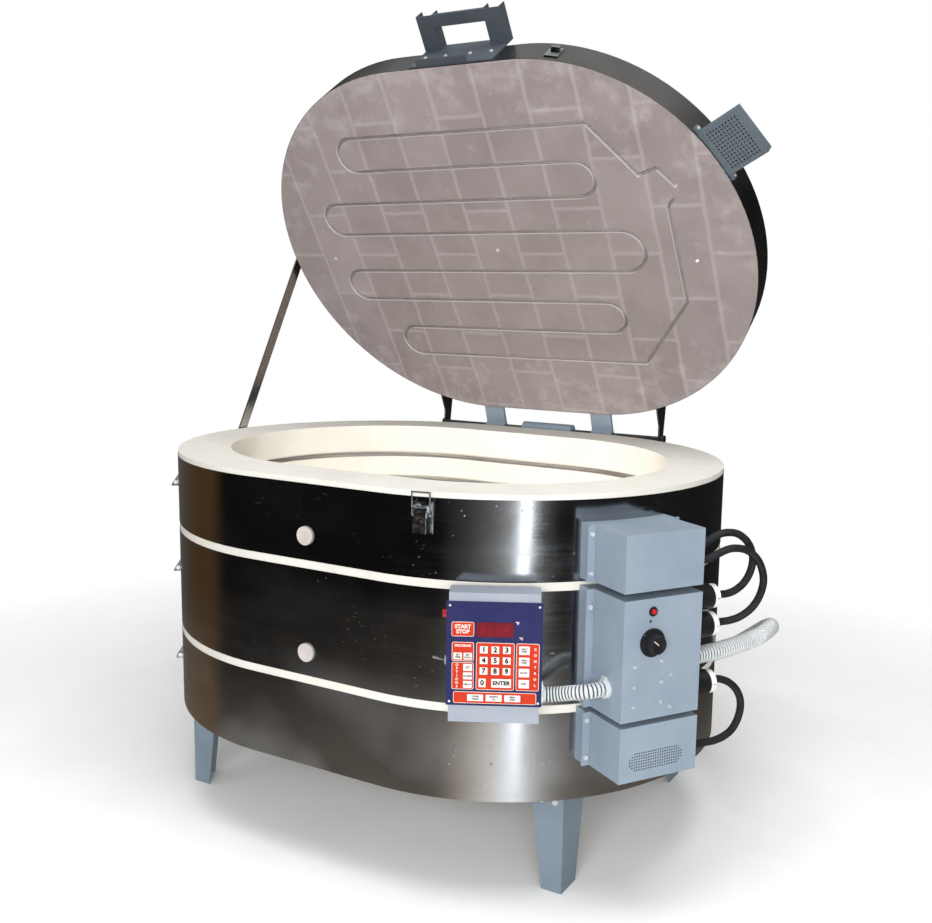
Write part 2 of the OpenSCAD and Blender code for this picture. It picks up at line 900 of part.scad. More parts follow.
// Plate that carries the keys; its raised fields are the printed key groups
// A field's sides are fractions of the panel, across from its middle and down from its top
function field(u0, u1, v0, v1) = [
  u0 * panel_w, u1 * panel_w, panel_z + panel_h * (1 - v1), panel_z + panel_h * (1 - v0)
];
key_fields = [
  field(-0.44, -0.211, 0.387, 0.57), field(-0.44, -0.211, 0.581, 0.844),
  field(-0.187, 0.211, 0.387, 0.844), field(0.229, 0.47, 0.387, 0.844),
  field(-0.422, 0.446, 0.866, 0.978), field(-0.446, -0.211, 0.194, 0.333)
];

module controller_panel() {
  color([0.13, 0.19, 0.40])
    at_right(controller_angle) {
      block([panel_x, -panel_w / 2, panel_z], [panel_face, panel_w / 2, panel_z + panel_h]);
      for (f = key_fields)
        block([panel_face - 0.5, f[0], f[2]], [panel_face + 0.4, f[1], f[3]]);
    }
}

module display_window() {
  f = field(-0.187, 0.199, 0.194, 0.333);
  color([0.35, 0.02, 0.04])
    at_right(controller_angle)
      block([panel_face, f[0], f[2]], [panel_face + 1, f[1], f[3]]);
}

// A grid of keys inside a field
module key_grid(f, cols, rows, gap) {
  w = (f[1] - f[0] - gap * (cols + 1)) / cols;
  h = (f[3] - f[2] - gap * (rows + 1)) / rows;
  for (i = [0:cols - 1], j = [0:rows - 1])
    block([panel_face + 0.4, f[0] + gap + i * (w + gap), f[2] + gap + j * (h + gap)],
          [panel_face + key_t, f[0] + gap + i * (w + gap) + w, f[2] + gap + j * (h + gap) + h]);
}

module keys() {
  two = key_fields[0];
  three = key_fields[1];
  n = key_fields[2];
  four = key_fields[3];
  low = key_fields[4];
  row = (n[3] - n[2]) / 4;
  zero_w = (n[1] - n[0]) / 3;
  color([0.9, 0.88, 0.86])
    at_right(controller_angle) {
      key_grid([two[0], two[1], two[2], two[2] + 18], 2, 1, 3);
      key_grid([three[0] + 17, three[1], three[2], three[3]], 1, 3, 3);
      key_grid([n[0], n[1], n[2] + row, n[3]], 3, 3, 6.5);
      key_grid([n[0], n[0] + zero_w, n[2], n[2] + row + 4], 1, 1, 5);
      key_grid([n[0] + zero_w, n[1], n[2], n[2] + row + 4], 1, 1, 5);
      key_grid([four[0], four[1] - 12, four[2], four[3]], 1, 4, 5);
      key_grid([low[0] + 20, low[1] - 23, low[2], low[3]], 3, 1, 4.5);
    }
}

module fuse_cap() {
  color([0.7, 0.08, 0.08])
    at_right(controller_angle)
      translate([housing_x + housing_d / 2, 0, panel_z + 0.84 * panel_h]) {
        y_rod(9, -housing_w / 2 - 3, -housing_w / 2);
        y_rod(7, -housing_w / 2 - 12, -housing_w / 2 - 2);
      }
}

// Switch lever in its neck, tilted up
toggle_y = -housing_w / 2 - 5.4;

module toggle_lever() {
  color(steel)
    at_right(controller_angle)
      translate([housing_x + housing_d / 2, toggle_y, toggle_z])
        rotate([-12, 0, 0]) {
          x_rod(4, -3, 3);
          rotate([90, 0, 0])
            cylinder(r1 = 2, r2 = 3, h = 24);
        }
}

// Hinge

module hinge_rod() {
  end = ear_span / 2 + 2;
  color(steel)
    translate([0, hinge_y, hinge_z]) {
      x_rod(rod_d / 2, -end - 8, end + 8);
      for (s = [-1, 1])
        translate([s * (end + 5), 0, 0])
          x_rod(rod_d / 2 + 4, -4, 4);
    }
}

// Draws a profile in the y-z plane and gives it a width along x
module profile_x(x0, x1, pts) {
  translate([x0, 0, 0])
    rotate([90, 0, 90])
      linear_extrude(x1 - x0)
        polygon(pts);
}

sleeve_half = 70;
sleeve_r = rod_d / 2 + 12;

// Painted bracket on the back of the upper jacket that holds the rod
module hinge_sleeve() {
  color(box_paint)
    difference() {
      union() {
        translate([0, hinge_y, hinge_z])
          x_rod(sleeve_r, -sleeve_half, sleeve_half);
        profile_x(10 - sleeve_half, sleeve_half - 10, [
          [end_radius, z_up + 50], [end_radius + 4, z_up + 50], [hinge_y + 6, hinge_z - 13],
          [hinge_y - 8, hinge_z + 5], [end_radius + 4, z_jacket_top - 14], [end_radius, z_jacket_top - 14]]);
      }
      translate([0, hinge_y, hinge_z])
        x_rod(rod_d / 2, -sleeve_half - 1, sleeve_half + 1);
    }
}

// Lid, all drawn shut

module lid_slab() {
  color(lid_brick)
    lid_pose()
      difference() {
        translate([0, 0, z_lid])
          oval(lid_r - jacket_t, lid_t);
        translate([0, 0, z_lid - 1])
          linear_extrude(lid_groove_deep + 1)
            track_outline(groove_w);
      }
}

module lid_band() {
  color(steel)
    lid_pose()
      translate([0, 0, z_lid])
        oval_band(lid_r, jacket_t, lid_t);
}

// Place of each run of the lid element, counted from the front
function run_y(i) =
  -run_shift + (i < 4 ? -run_gap / 2 - (3 - i) * run_pitch : run_gap / 2 + (i - 4) * run_pitch);
short_left = -313;
long_left = -421;
short_right = 243;
long_right = 314;
run_left = [short_left, short_left, long_left, long_left, long_left, long_left, short_left, short_left];
run_right = [270, short_right, short_right, long_right, long_right, short_right, short_right, 292];
front_lead = [[run_right[0], run_y(0)], [290, run_y(0)], [384, -192], [426, -206], [460, -166]];
back_lead = [[run_right[7], run_y(7)], [312, run_y(7)], [441, 121], [436, -118], [452, -136]];

// Round bar along the serpentine of the lid
module serpentine_bar(r) {
  for (i = [0:7])
    translate([0, run_y(i), 0])
      x_rod(r, run_left[i], run_right[i]);
  for (i = [0:6])
    let (bend = (run_y(i + 1) - run_y(i)) / 2, left = i % 2 == 0)
      translate([left ? run_left[i] : run_right[i], run_y(i) + bend, 0])
        rotate([0, 0, left ? 90 : -90])
          rotate_extrude(angle = 180)
            translate([bend, 0])
              circle(r = r);
}

// Bar along a list of points, with a round bend at each corner and a fine seam between pieces
seam = 0.1;
bend_r = 0.9 * lid_coil_d;
function course(p, i) = atan2(p[i + 1][1] - p[i][1], p[i + 1][0] - p[i][0]);
function turn_at(p, i) = course(p, i) - course(p, i - 1);
function trim_at(p, i) = i == 0 || i == len(p) - 1 ? 0 : bend_r * tan(abs(turn_at(p, i)) / 2);

module bent_bar(p, r) {
  for (i = [0:len(p) - 2])
    translate([p[i][0], p[i][1], 0])
      rotate([0, 0, course(p, i)])
        x_rod(r, trim_at(p, i) + seam, norm(p[i + 1] - p[i]) - trim_at(p, i + 1) - seam);
  for (i = [1:len(p) - 2])
    let (left = turn_at(p, i) > 0)
      translate([p[i][0], p[i][1], 0])
        rotate([0, 0, course(p, i - 1)])
          translate([-trim_at(p, i), left ? bend_r : -bend_r, 0])
            rotate([0, 0, left ? -90 : 90 + turn_at(p, i)])
              rotate_extrude(angle = abs(turn_at(p, i)))
                translate([bend_r, 0])
                  circle(r = r);
}

// Outline of the groove that holds bar and tails
groove_w = lid_coil_d + 1.6;

module track_outline(w) {
  for (i = [0:7])
    translate([run_left[i] - 0.5, run_y(i) - w / 2])
      square([run_right[i] - run_left[i] + 1, w]);
  for (i = [0:6])
    let (bend = (run_y(i + 1) - run_y(i)) / 2, left = i % 2 == 0)
      translate([left ? run_left[i] : run_right[i], run_y(i) + bend])
        difference() {
          circle(r = bend + w / 2);
          circle(r = bend - w / 2);
          translate([left ? 0 : -2 * (bend + w), -bend - w])
            square(2 * (bend + w));
        }
  for (lead = [front_lead, back_lead]) {
    for (i = [0:len(lead) - 2])
      let (d = lead[i + 1] - lead[i])
        translate(lead[i])
          rotate(atan2(d[1], d[0]))
            translate([0, -w / 2])
              square([norm(d), w]);
    for (i = [1:len(lead) - 1])
      translate(lead[i])
        circle(r = w * 0.55);
  }
}

module lid_element() {
  color(wire)
    lid_pose()
      translate([0, 0, z_lid + lid_groove_deep - lid_coil_d / 2]) {
        serpentine_bar(lid_coil_d / 2);
        bent_bar(front_lead, lid_coil_d / 2);
        bent_bar(back_lead, lid_coil_d / 2);
      }
}

// Ear plates at the ends of the rod, each with a foot on the band
module hinge_ears() {
  foot_t = 2.5;
  foot_half = 24;
  foot_deep = 40;
  ear_t = 4;
  dx = ear_span / 2 - half_straight;
  y_band = sqrt(pow(lid_r, 2) - pow(dx, 2));
  color(steel)
    lid_pose()
      for (s = [-1, 1])
        difference() {
          union() {
            profile_x(s * ear_span / 2 - ear_t / 2, s * ear_span / 2 + ear_t / 2, [
              [y_band - 4, z_lid + 8], [y_band - 4, z_lid + lid_t - 8], [y_band + 22, z_lid + lid_t - 8],
              [hinge_y + 9, hinge_z + 9], [hinge_y - 5, hinge_z - 12], [hinge_y - 36, hinge_z + 8]]);
            translate([0, hinge_y, hinge_z])
              x_rod(rod_d / 2 + 8, s * ear_span / 2 - ear_t / 2, s * ear_span / 2 + ear_t / 2);
            intersection() {
              translate([s * half_straight, 0, z_lid + 8])
                cylinder(r = lid_r + foot_t, h = lid_t - 16, $fn = 360);
              block([s * ear_span / 2 - foot_half, y_band - foot_deep, z_lid + 8],
                [s * ear_span / 2 + foot_half, hinge_y, z_lid + lid_t - 8]);
            }
          }
          translate([s * half_straight, 0, z_lid - 20])
            cylinder(r = lid_r, h = lid_t + 40, $fn = 360);
          translate([s * ear_span / 2, hinge_y, hinge_z])
            x_rod(rod_d / 2 + fit, -5, 5);
        }
}

// Painted straps from the back of the band to the rod
strap_x = 154;
strap_w = 56;

module hinge_straps() {
  strap_t = 4;
  color(box_paint)
    lid_pose()
      for (s = [-1, 1])
        difference() {
          union() {
            profile_x(s * strap_x - strap_w / 2, s * strap_x + strap_w / 2, [
              [lid_r, z_lid + 6], [lid_r, z_lid + lid_t - 8], [lid_r + strap_t, z_lid + lid_t - 8],
              [lid_r + strap_t, z_lid + 14], [hinge_y + 4, hinge_z + 8], [hinge_y - 6, hinge_z + 2]]);
            translate([0, hinge_y, hinge_z])
              x_rod(rod_d / 2 + 5, s * strap_x - strap_w / 2, s * strap_x + strap_w / 2);
          }
          translate([s * strap_x, hinge_y, hinge_z])
            x_rod(rod_d / 2 + fit, -strap_w / 2 - 2, strap_w / 2 + 2);
        }
}

// Handle: plate on the front of the band, two folded posts and a bar between them
handle_x = 12;
post_w = 40;
handle_z = z_lid + lid_t + 8;
handle_depth = 28;

module lid_handle() {
  plate_t = 3;
  fold_t = 2;
  y0 = -lid_r - plate_t;
  y1 = y0 - handle_out;
  w = handle_w / 2;
  bar_w = 26;
  bar_lip = 8;
  color(dark_paint)
    lid_pose()
      translate([handle_x, 0, 0]) {
        block([-w, y0, z_lid + 4], [w, -lid_r, handle_z + handle_depth]);
        // Lip along the foot of the plate
        block([-w + 20, y0 - 14, z_lid + 4], [w - 60, y0 + 1, z_lid + 7]);
        // Posts, open at the end
        for (s = [-1, 1])
          translate([s * (w - post_w / 2), 0, 0]) {
            block([-post_w / 2, y1, handle_z], [post_w / 2, y0 + 1, handle_z + fold_t]);
            for (t = [-1, 1])
              block([t * (post_w / 2 - fold_t / 2) - fold_t / 2, y1, handle_z + 1],
                [t * (post_w / 2 - fold_t / 2) + fold_t / 2, y0 + 1, handle_z + handle_depth]);
          }
        // Grip between the posts
        block([post_w - w - 1, y1, handle_z], [w - post_w + 1, y1 + bar_w, handle_z + fold_t]);
        for (y = [y1, y1 + bar_w - fold_t])
          block([post_w - w - 1, y, handle_z + 1], [w - post_w + 1, y + fold_t, handle_z + bar_lip]);
      }
}

// Connection box of the lid element, on the right of the band, with vent holes below
lid_box_angle = 29.5;
lid_box_w = 106;
lid_box_out = 95;
lid_box_deep = 22;
lid_box_z = z_lid + 4;

module lid_box() {
  z0 = lid_box_z;
  z1 = lid_box_z + lid_box_deep;
  w = lid_box_w / 2;
  tab = 13;
  pitch = 7.5;
  color(dark_paint + [0.12, 0.13, 0.14])
    lid_pose()
      at_right(lid_box_angle)
        difference() {
          off_end(lid_r)
            union() {
              block([lid_r - 8, -w, z0], [lid_r + lid_box_out, w, z1]);
              block([lid_r - 8, -w - tab, z0 + 3], [lid_r + 2, w + tab, z1 - 3]);
            }
          block([lid_r - 20, sheet - w, z0 + sheet], [lid_r + lid_box_out - sheet, w - sheet, z1 - sheet]);
          for (i = [0:9], j = [0:11])
            translate([lid_r + 15 + i * pitch, (j - 5.5) * pitch, z0 - 5])
              cylinder(r = 1.9, h = 10, $fn = 16);
        }
}

// Screws, bolts and pins that stay with the lid
module lid_fasteners() {
  color(steel)
    lid_pose() {
      // Handle screws
      for (f = [-0.4, -0.15, 0.15, 0.4])
        translate([handle_x + f * handle_w, 0, z_lid + lid_t * 0.6])
          y_rod(4, -lid_r - 5.5, -lid_r - 3);
      // Screws in the tabs of the lid box
      at_right(lid_box_angle)
        for (s = [-1, 1])
          translate([0, s * (lid_box_w / 2 + 7), lid_box_z + lid_box_deep / 2])
            x_rod(3.5, lid_r + 2, lid_r + 4.5);
      // Bolts in the straps of the hinge
      for (s = [-1, 1], d = [-14, 10], z = [0.45, 0.75])
        translate([s * (strap_x - 12 + d), 0, z_lid + z * lid_t])
          y_rod(4.5, lid_r + 4, lid_r + 8);
      // Pins that show in the face of the lid
      pin_x = half_straight + 0.72 * lid_r;
      for (p = [[-pin_x, 4], [pin_x, 12], [0, -16]])
        translate([p[0], p[1], z_lid - 1.5])
          cylinder(r = 4, h = 1.5);
    }
}

// Support arm, its bracket on the body and its stud on the lid

module arm_bracket() {
  color(steel)
    translate([-half_straight, 0, 0])
      mirror([1, 0, 0]) {
        off_end(end_radius)
          block([end_radius - 4, arm_foot[0] - 22, arm_foot[1] - 26],
            [end_radius + 3, arm_foot[0] + 22, arm_foot[1] + 26]);
        translate([0, arm_foot[0], arm_foot[1]]) {
          x_rod(10, end_radius + 2.5, end_radius + 7 - loose);
          x_rod(6, end_radius + 2.5, end_radius + 7 + arm_t + 4);
          x_rod(10, end_radius + 7 + arm_t + loose, end_radius + 7 + arm_t + 4);
        }
      }
}

module arm_stud() {
  color(steel)
    lid_pose()
      translate([-half_straight, stud_shut[0], stud_shut[1]])
        mirror([1, 0, 0]) {
          difference() {
            x_rod(stud_r, lid_r - 4, end_radius + 7 + arm_t + 5);
            translate([0, -stud_shut[0], -50])
              cylinder(r = lid_r, h = 100, $fn = 360);
          }
          x_rod(stud_r + 4, end_radius + 7 + arm_t + 1.5, end_radius + 7 + arm_t + 5);
        }
}

// Flat bar with a pivot hole at the foot and an open notch for the stud at the head
module support_arm() {
  notch = stud_r + 0.8;
  head = arm_len + 18;
  color(steel)
    translate([-arm_x - arm_t, arm_foot[0], arm_foot[1]])
      rotate([arm_lean, 0, 0])
        rotate([90, 0, 90])
          linear_extrude(arm_t)
            difference() {
              union() {
                translate([0, -arm_w / 2])
                  square([head, arm_w]);
                circle(r = arm_w / 2);
              }
              circle(r = 6 + fit);
              translate([arm_len, 0])
                circle(r = notch);
              polygon([[arm_len + notch, 0], [arm_len + notch, arm_w],
                [arm_len - notch - 12, arm_w], [arm_len - notch, 0]]);
            }
}

// Draw latch on the front of the upper jacket, and its keeper on the lid

module latch_plate() {
  color(steel)
    at_right(latch_angle) {
      off_end(end_radius)
        block([end_radius - 4, -19, latch_z - 46], [end_radius + 2, 19, latch_z + 12]);
      for (s = [-1, 1])
        difference() {
          union() {
            translate([latch_out, 0, latch_z])
              y_rod(6.5, s * 12.6 - 1, s * 12.6 + 1);
            block([end_radius + 1, s * 12.6 - 1, latch_z - 6.5], [latch_out, s * 12.6 + 1, latch_z + 6.5]);
          }
          translate([latch_out, 0, latch_z])
            y_rod(latch_pin_r, s * 12.6 - 2, s * 12.6 + 2);
        }
      translate([latch_out, 0, latch_z])
        y_rod(latch_pin_r, -13.6, 13.6);
    }
}

// Lever folded down over the plate
module latch_lever() {
  color(steel)
    at_right(latch_angle)
      translate([latch_out, 0, latch_z])
        difference() {
          union() {
            for (s = [-1, 1]) {
              y_rod_at(s * 10, 5.5);
              block([-3, s * 10 - 1, -16], [5.5, s * 10 + 1, 0]);
            }
            block([3.5, -11, -44], [5.5, 11, 2]);
          }
          y_rod(latch_pin_r + fit, -12, 12);
          translate([0, 0, -bail_drop])
            y_rod(bail_r + fit, -12, 12);
        }
}

module y_rod_at(y, r) {
  translate([0, y, 0])
    y_rod(r, -1, 1);
}

// Wire loop that pulls the keeper down
module latch_bail() {
  color(steel)
    at_right(latch_angle)
      translate([latch_out, 0, latch_z - bail_drop]) {
        for (s = [-1, 1]) {
          translate([0, s * bail_half, 0])
            cylinder(r = bail_r, h = bail_h, $fn = 24);
          y_rod(bail_r, min(s * 9, s * bail_half), max(s * 9, s * bail_half));
          for (z = [0, bail_h])
            translate([0, s * bail_half, z])
              sphere(r = bail_r, $fn = 24);
        }
        translate([0, 0, bail_h])
          y_rod(bail_r, -bail_half, bail_half);
      }
}

module latch_keeper() {
  color(steel)
    lid_pose()
      at_right(latch_angle) {
        off_end(lid_r)
          block([lid_r - 4, -15, z_lid + 14], [lid_r + 2.5, 15, z_lid + 52]);
        block([lid_r + 1.5, -10, z_lid + 40], [lid_r + 9, 10, z_lid + 43]);
        block([lid_r + 6.5, -10, z_lid + 42], [lid_r + 9, 10, z_lid + 50]);
      }
}

// Peephole plugs: tapered shaft and a round head against the jacket
module peephole_plug(z) {
  r = peep_d / 2 - peep_clear;
  head_t = 4;
  color([0.80, 0.78, 0.75])
    translate([peep_x, 0, z]) {
      translate([0, -end_radius - 1, 0])
        rotate([-90, 0, 0])
          cylinder(r1 = r, r2 = r - 2, h = wall * 0.7);
      y_rod(peep_d / 2 + 3, -end_radius - head_t, -end_radius - loose);
    }
}

module upper_peephole_plug() { peephole_plug(peep_z_upper); }
module middle_peephole_plug() { peephole_plug(peep_z_middle); }

// Drawing

leg_front_right();
leg_front_left();
leg_back_right();
leg_back_left();
stand_frame();
bottom_pan();
floor_slab();
lower_brick_ring();
middle_brick_ring();
upper_brick_ring();
lower_jacket();
middle_jacket();
upper_jacket();
body_fasteners();
ring_elements();
thermocouple();
upper_box_base();
middle_box_base();
lower_box_base();
upper_box_cover();
middle_box_cover();
lower_box_cover();
pilot_light();
selector_switch();
power_relay();
outlets();
plugs();
plug_caps();
upper_cord();
middle_cord();
lower_cord();
conduit_connectors();
supply_conduit();
controller_conduit();
controller_housing();
controller_panel();
display_window();
keys();
fuse_cap();
hinge_rod();
hinge_sleeve();
arm_bracket();
latch_plate();
lid_slab();
lid_band();
lid_element();
hinge_ears();
hinge_straps();
lid_fasteners();
lid_handle();
lid_box();
latch_keeper();
arm_stud();
support_arm();
latch_lever();
latch_bail();
selector_knob();
toggle_lever();
upper_peephole_plug();
middle_peephole_plug();
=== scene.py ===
# %% [markdown]
# # An oval electric kiln, dressed for the studio
#
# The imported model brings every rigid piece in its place: stacked brick rings in stainless
# jackets, the open lid, the control boxes and the legs. This script adds what a construction
# model leaves out: wound elements, ribbed conduits, rubber cords, the printed key panel,
# and a material for each surface. The scene is in metres, and tables of points are in millimetres.

import math

import bmesh
import bpy
import numpy as np
from mathutils import Matrix, Vector


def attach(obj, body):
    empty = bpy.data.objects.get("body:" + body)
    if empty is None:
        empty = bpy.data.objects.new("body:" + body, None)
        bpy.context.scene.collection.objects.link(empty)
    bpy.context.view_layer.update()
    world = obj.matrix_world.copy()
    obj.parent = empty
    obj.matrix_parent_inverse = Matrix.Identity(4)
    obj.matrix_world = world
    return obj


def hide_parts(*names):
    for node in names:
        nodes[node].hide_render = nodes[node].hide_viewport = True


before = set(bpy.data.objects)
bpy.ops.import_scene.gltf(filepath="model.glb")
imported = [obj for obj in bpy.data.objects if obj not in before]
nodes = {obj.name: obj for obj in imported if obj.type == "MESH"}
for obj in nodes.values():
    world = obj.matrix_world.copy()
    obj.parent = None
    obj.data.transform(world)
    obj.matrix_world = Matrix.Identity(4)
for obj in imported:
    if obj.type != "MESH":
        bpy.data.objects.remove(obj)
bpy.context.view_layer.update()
print("nodes in the model:", len(nodes))

# %% [markdown]
# ## The camera
#
# The place, angle and focal length come from fitting the oval rims, the lid and the boxes to
# the photograph. The camera also leans a little to one side.

# %% Camera
AZIMUTH, ELEVATION, ROLL = math.radians(30.6), math.radians(8.77), math.radians(0.75)
TARGET = Vector((0.0754, -0.0285, 0.7519))
DISTANCE, LENS, SENSOR = 2.428, 43.22, 36.0


def linked(name, data):
    """A new object of the scene that holds this data."""
    obj = bpy.data.objects.new(name, data)
    bpy.context.scene.collection.objects.link(obj)
    return obj


def make_camera():
    a, e = AZIMUTH, ELEVATION
    back = Vector((math.sin(a) * math.cos(e), -math.cos(a) * math.cos(e), math.sin(e)))
    right = Vector((math.cos(a), math.sin(a), 0))
    up = back.cross(right)
    right, up = (
        right * math.cos(ROLL) + up * math.sin(ROLL),
        up * math.cos(ROLL) - right * math.sin(ROLL),
    )
    data = bpy.data.cameras.new("camera")
    data.sensor_width = SENSOR
    data.lens = LENS
    data.clip_start, data.clip_end = 0.05, 60.0
    camera = linked("camera", data)
    place = Matrix((right, up, back)).transposed().to_4x4()
    place.translation = TARGET + back * DISTANCE
    camera.matrix_world = place
    bpy.context.scene.camera = camera


make_camera()
print("camera: %.1f mm lens, %.2f m from its target" % (LENS, DISTANCE))

# %% [markdown]
# ## Frames on the round end
#
# The boxes and the controller look straight out from the middle of the right round end, each
# in its own direction. A point there is given as outward, round to the right, and up, in
# millimetres, and one function turns it into a point of the model.

# %% Frames
HALF_STRAIGHT = 148.0
BOX_ANGLE, PANEL_ANGLE = 32.4, 62.0
HINGE = Vector((0.0, 0.520, 0.760))
LID_OPEN = math.radians(56.6)


def at_right(angle, p):
    """A point given from the right round end, in millimetres, as a point of the model."""
    a = math.radians(-angle)
    x, y, z = p
    return Vector((
        HALF_STRAIGHT + x * math.cos(a) - y * math.sin(a),
        x * math.sin(a) + y * math.cos(a),
        z,
    )) / 1000


def end_axes(angle):
    """Outward, rightward and up, as unit vectors of the model."""
    a = math.radians(-angle)
    out = Vector((math.cos(a), math.sin(a), 0))
    return out, Vector((-out.y, out.x, 0)), Vector((0, 0, 1))


def lid_point(x, y, z):
    """A point of the shut lid, in millimetres, where it is in the open lid."""
    p = Vector((x, y, z)) / 1000 - HINGE
    return Matrix.Rotation(-LID_OPEN, 3, "X") @ p + HINGE


print("the lid stands open by %.1f degrees" % math.degrees(LID_OPEN))

# %% [markdown]
# ## Sweeping a round section along a route
#
# Cords, conduits and wound wire are all one idea: a ring of points carried along a curve. The
# ring turns as little as it can from one point to the next, so the tube never twists.

# %% Sweeps
def smooth(points, steps):
    """A smooth curve through the points, with this many steps between two of them."""
    p = [Vector(q) for q in points]
    out = []
    for i in range(len(p) - 1):
        a, b, c, d = p[max(i - 1, 0)], p[i], p[i + 1], p[min(i + 2, len(p) - 1)]
        for k in range(steps):
            t = k / steps
            out.append(0.5 * (
                2 * b + (c - a) * t + (2 * a - 5 * b + 4 * c - d) * t * t
                + (3 * b - a - 3 * c + d) * t ** 3))
    return out + [p[-1]]


def length_of(path):
    return sum((b - a).length for a, b in zip(path, path[1:]))


def stations(pts):
    """Distance from the start at each point."""
    return np.concatenate([[0], np.cumsum(np.linalg.norm(np.diff(pts, axis=0), axis=1))])


def along(path, distances):
    """Points of a path at the given distances from its start."""
    pts = np.array([list(p) for p in path])
    return np.stack([np.interp(distances, stations(pts), pts[:, k]) for k in range(3)], 1)


def carried_frames(pts):
    """Two unit vectors across the path at each point, carried along without twist."""
    tangent = np.gradient(pts, axis=0)
    tangent /= np.linalg.norm(tangent, axis=1)[:, None]
    side = np.cross(tangent[0], [0, 0, 1])
    if np.linalg.norm(side) < 0.2:
        side = np.cross(tangent[0], [1, 0, 0])
    sides = []
    for t in tangent:
        side = side - t * (side @ t)
        side = side / np.linalg.norm(side)
        sides.append(side)
    sides = np.array(sides)
    return sides, np.cross(tangent, sides)


def skin(rows, count, closed=False):
    """Faces between rings of points; the rows close on themselves or end in two caps."""
    faces = []
    for i in range(rows if closed else rows - 1):
        a, b = i * count, (i + 1) % rows * count
        faces += [(a + j, a + (j + 1) % count, b + (j + 1) % count, b + j) for j in range(count)]
    if not closed:
        faces.append(tuple(range(count - 1, -1, -1)))
        faces.append(tuple(range((rows - 1) * count, rows * count)))
    return faces


def sweep(pts, radii, count):
    """Vertices and faces of a tube; radii may change along it."""
    u, v = carried_frames(pts)
    angle = np.linspace(0, 2 * math.pi, count, endpoint=False)
    ring = np.cos(angle)[None, :, None] * u[:, None] + np.sin(angle)[None, :, None] * v[:, None]
    verts = (pts[:, None] + np.asarray(radii)[:, None, None] * ring).reshape(-1, 3)
    return verts, skin(len(pts), count)


def mesh_object(name, verts, faces, body, smooth_angle=40):
    mesh = bpy.data.meshes.new(name)
    mesh.from_pydata([tuple(v) for v in verts], [], faces)
    mesh.update()
    obj = linked(name, mesh)
    if smooth_angle:
        mesh.shade_smooth()
        mesh.set_sharp_from_angle(angle=math.radians(smooth_angle))
    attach(obj, body)
    return obj


print("faces of a tube of three rings of eight points:", len(skin(3, 8)))

# %% [markdown]
# ## Cords from the boxes to the plugs
#
# Three rubber cords loop out of the covers and back to the plugs on the side of the middle
# box. Their routes are those of the construction model.

# %% Cords
CORD_D, TUBE_SIDES = 0.014, 20
CORD_ROUTES = {
    "upper_cord": [
        (528, 82.5, 666), (528, 91, 666), (528, 100, 666), (528, 119, 669), (530, 138, 678.5),
        (533, 157, 688), (536, 176, 691), (539, 196, 687.5), (541.5, 213, 676), (543.5, 225, 659),
        (545, 230, 637), (544.5, 225, 613), (543.5, 212, 594), (542, 193, 582), (541, 176, 578),
        (540.5, 166, 578), (540.5, 156, 578), (540.5, 145.5, 578),
    ],
    "middle_cord": [
        (556, 82.5, 650), (556, 91, 650), (556, 100, 650), (556.5, 118, 652.5), (557, 137, 659),
        (558, 155, 665), (559, 173, 667), (560.5, 197, 662.5), (562, 219, 649), (563, 235, 627),
        (563, 242, 600), (561, 237, 573), (557, 223, 550), (550, 203, 534), (544, 184, 527.5),
        (540.5, 167, 526), (540.5, 156, 526), (540.5, 145.5, 526),
    ],
    "lower_cord": [
        (540.5, 82.5, 298), (540.5, 94, 298), (540.5, 106, 298), (540.5, 124, 298), (541, 143, 298),
        (542, 162, 298.5), (543, 182, 303), (544, 200, 313), (544, 213, 330), (544, 219.5, 352),
        (543.5, 218, 372), (543, 208, 391), (542, 192, 406), (541, 176, 414), (540.5, 166, 417),
        (540.5, 156, 417), (540.5, 145.5, 417),
    ],
}


def make_cord(node, route):
    path = smooth([at_right(BOX_ANGLE, p) for p in route], 6)
    pts = np.array([list(p) for p in path])
    verts, faces = sweep(pts, np.full(len(pts), CORD_D / 2), TUBE_SIDES)
    cord = mesh_object(node + "_rubber", verts, faces, "kiln")
    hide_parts(node)
    return cord


cords = [make_cord(node, route) for node, route in CORD_ROUTES.items()]
print("cords:", [c.name for c in cords])

# %% [markdown]
# ## Ribbed metal conduit
#
# The conduit is a strip of metal wound into a tube, so its ribs are low rounded hoops with a
# narrow groove between them, and the grooves take a darker metal that paints their shade. The
# supply run goes round behind the kiln and ends in a fitting on the floor.

# %% Conduits
SUPPLY_ROUTE = [
    (657.4, -206.1, 470), (668, -189.4, 470), (690, -152, 471), (712, -98, 472), (726, -34, 470),
    (726, 38, 464), (716, 110, 452), (696, 180, 434), (668, 250, 408), (632, 318, 374),
    (586, 382, 332), (530, 440, 284), (464, 490, 234), (390, 530, 184), (308, 560, 136),
    (220, 580, 94), (130, 592, 60), (40, 598, 36), (-50, 600, 25), (-120, 600, 24),
]
CONTROLLER_ROUTE = [
    (462.6, -405.8, 421), (475, -399.3, 421.5), (490, -394.6, 424), (506, -392.5, 428),
    (523, -391.5, 432), (538, -387, 435), (549, -377, 436.8), (555.6, -366.5, 437),
]
SUPPLY_D, SUPPLY_PITCH = 0.033, 0.0065
LINK_D, LINK_PITCH = 0.027, 0.0062
# One rib, as (share of the pitch, share of the radius)
HOOP = [(0.0, 0.84), (0.05, 0.94), (0.16, 1.0), (0.46, 1.0), (0.57, 0.94), (0.62, 0.84)]


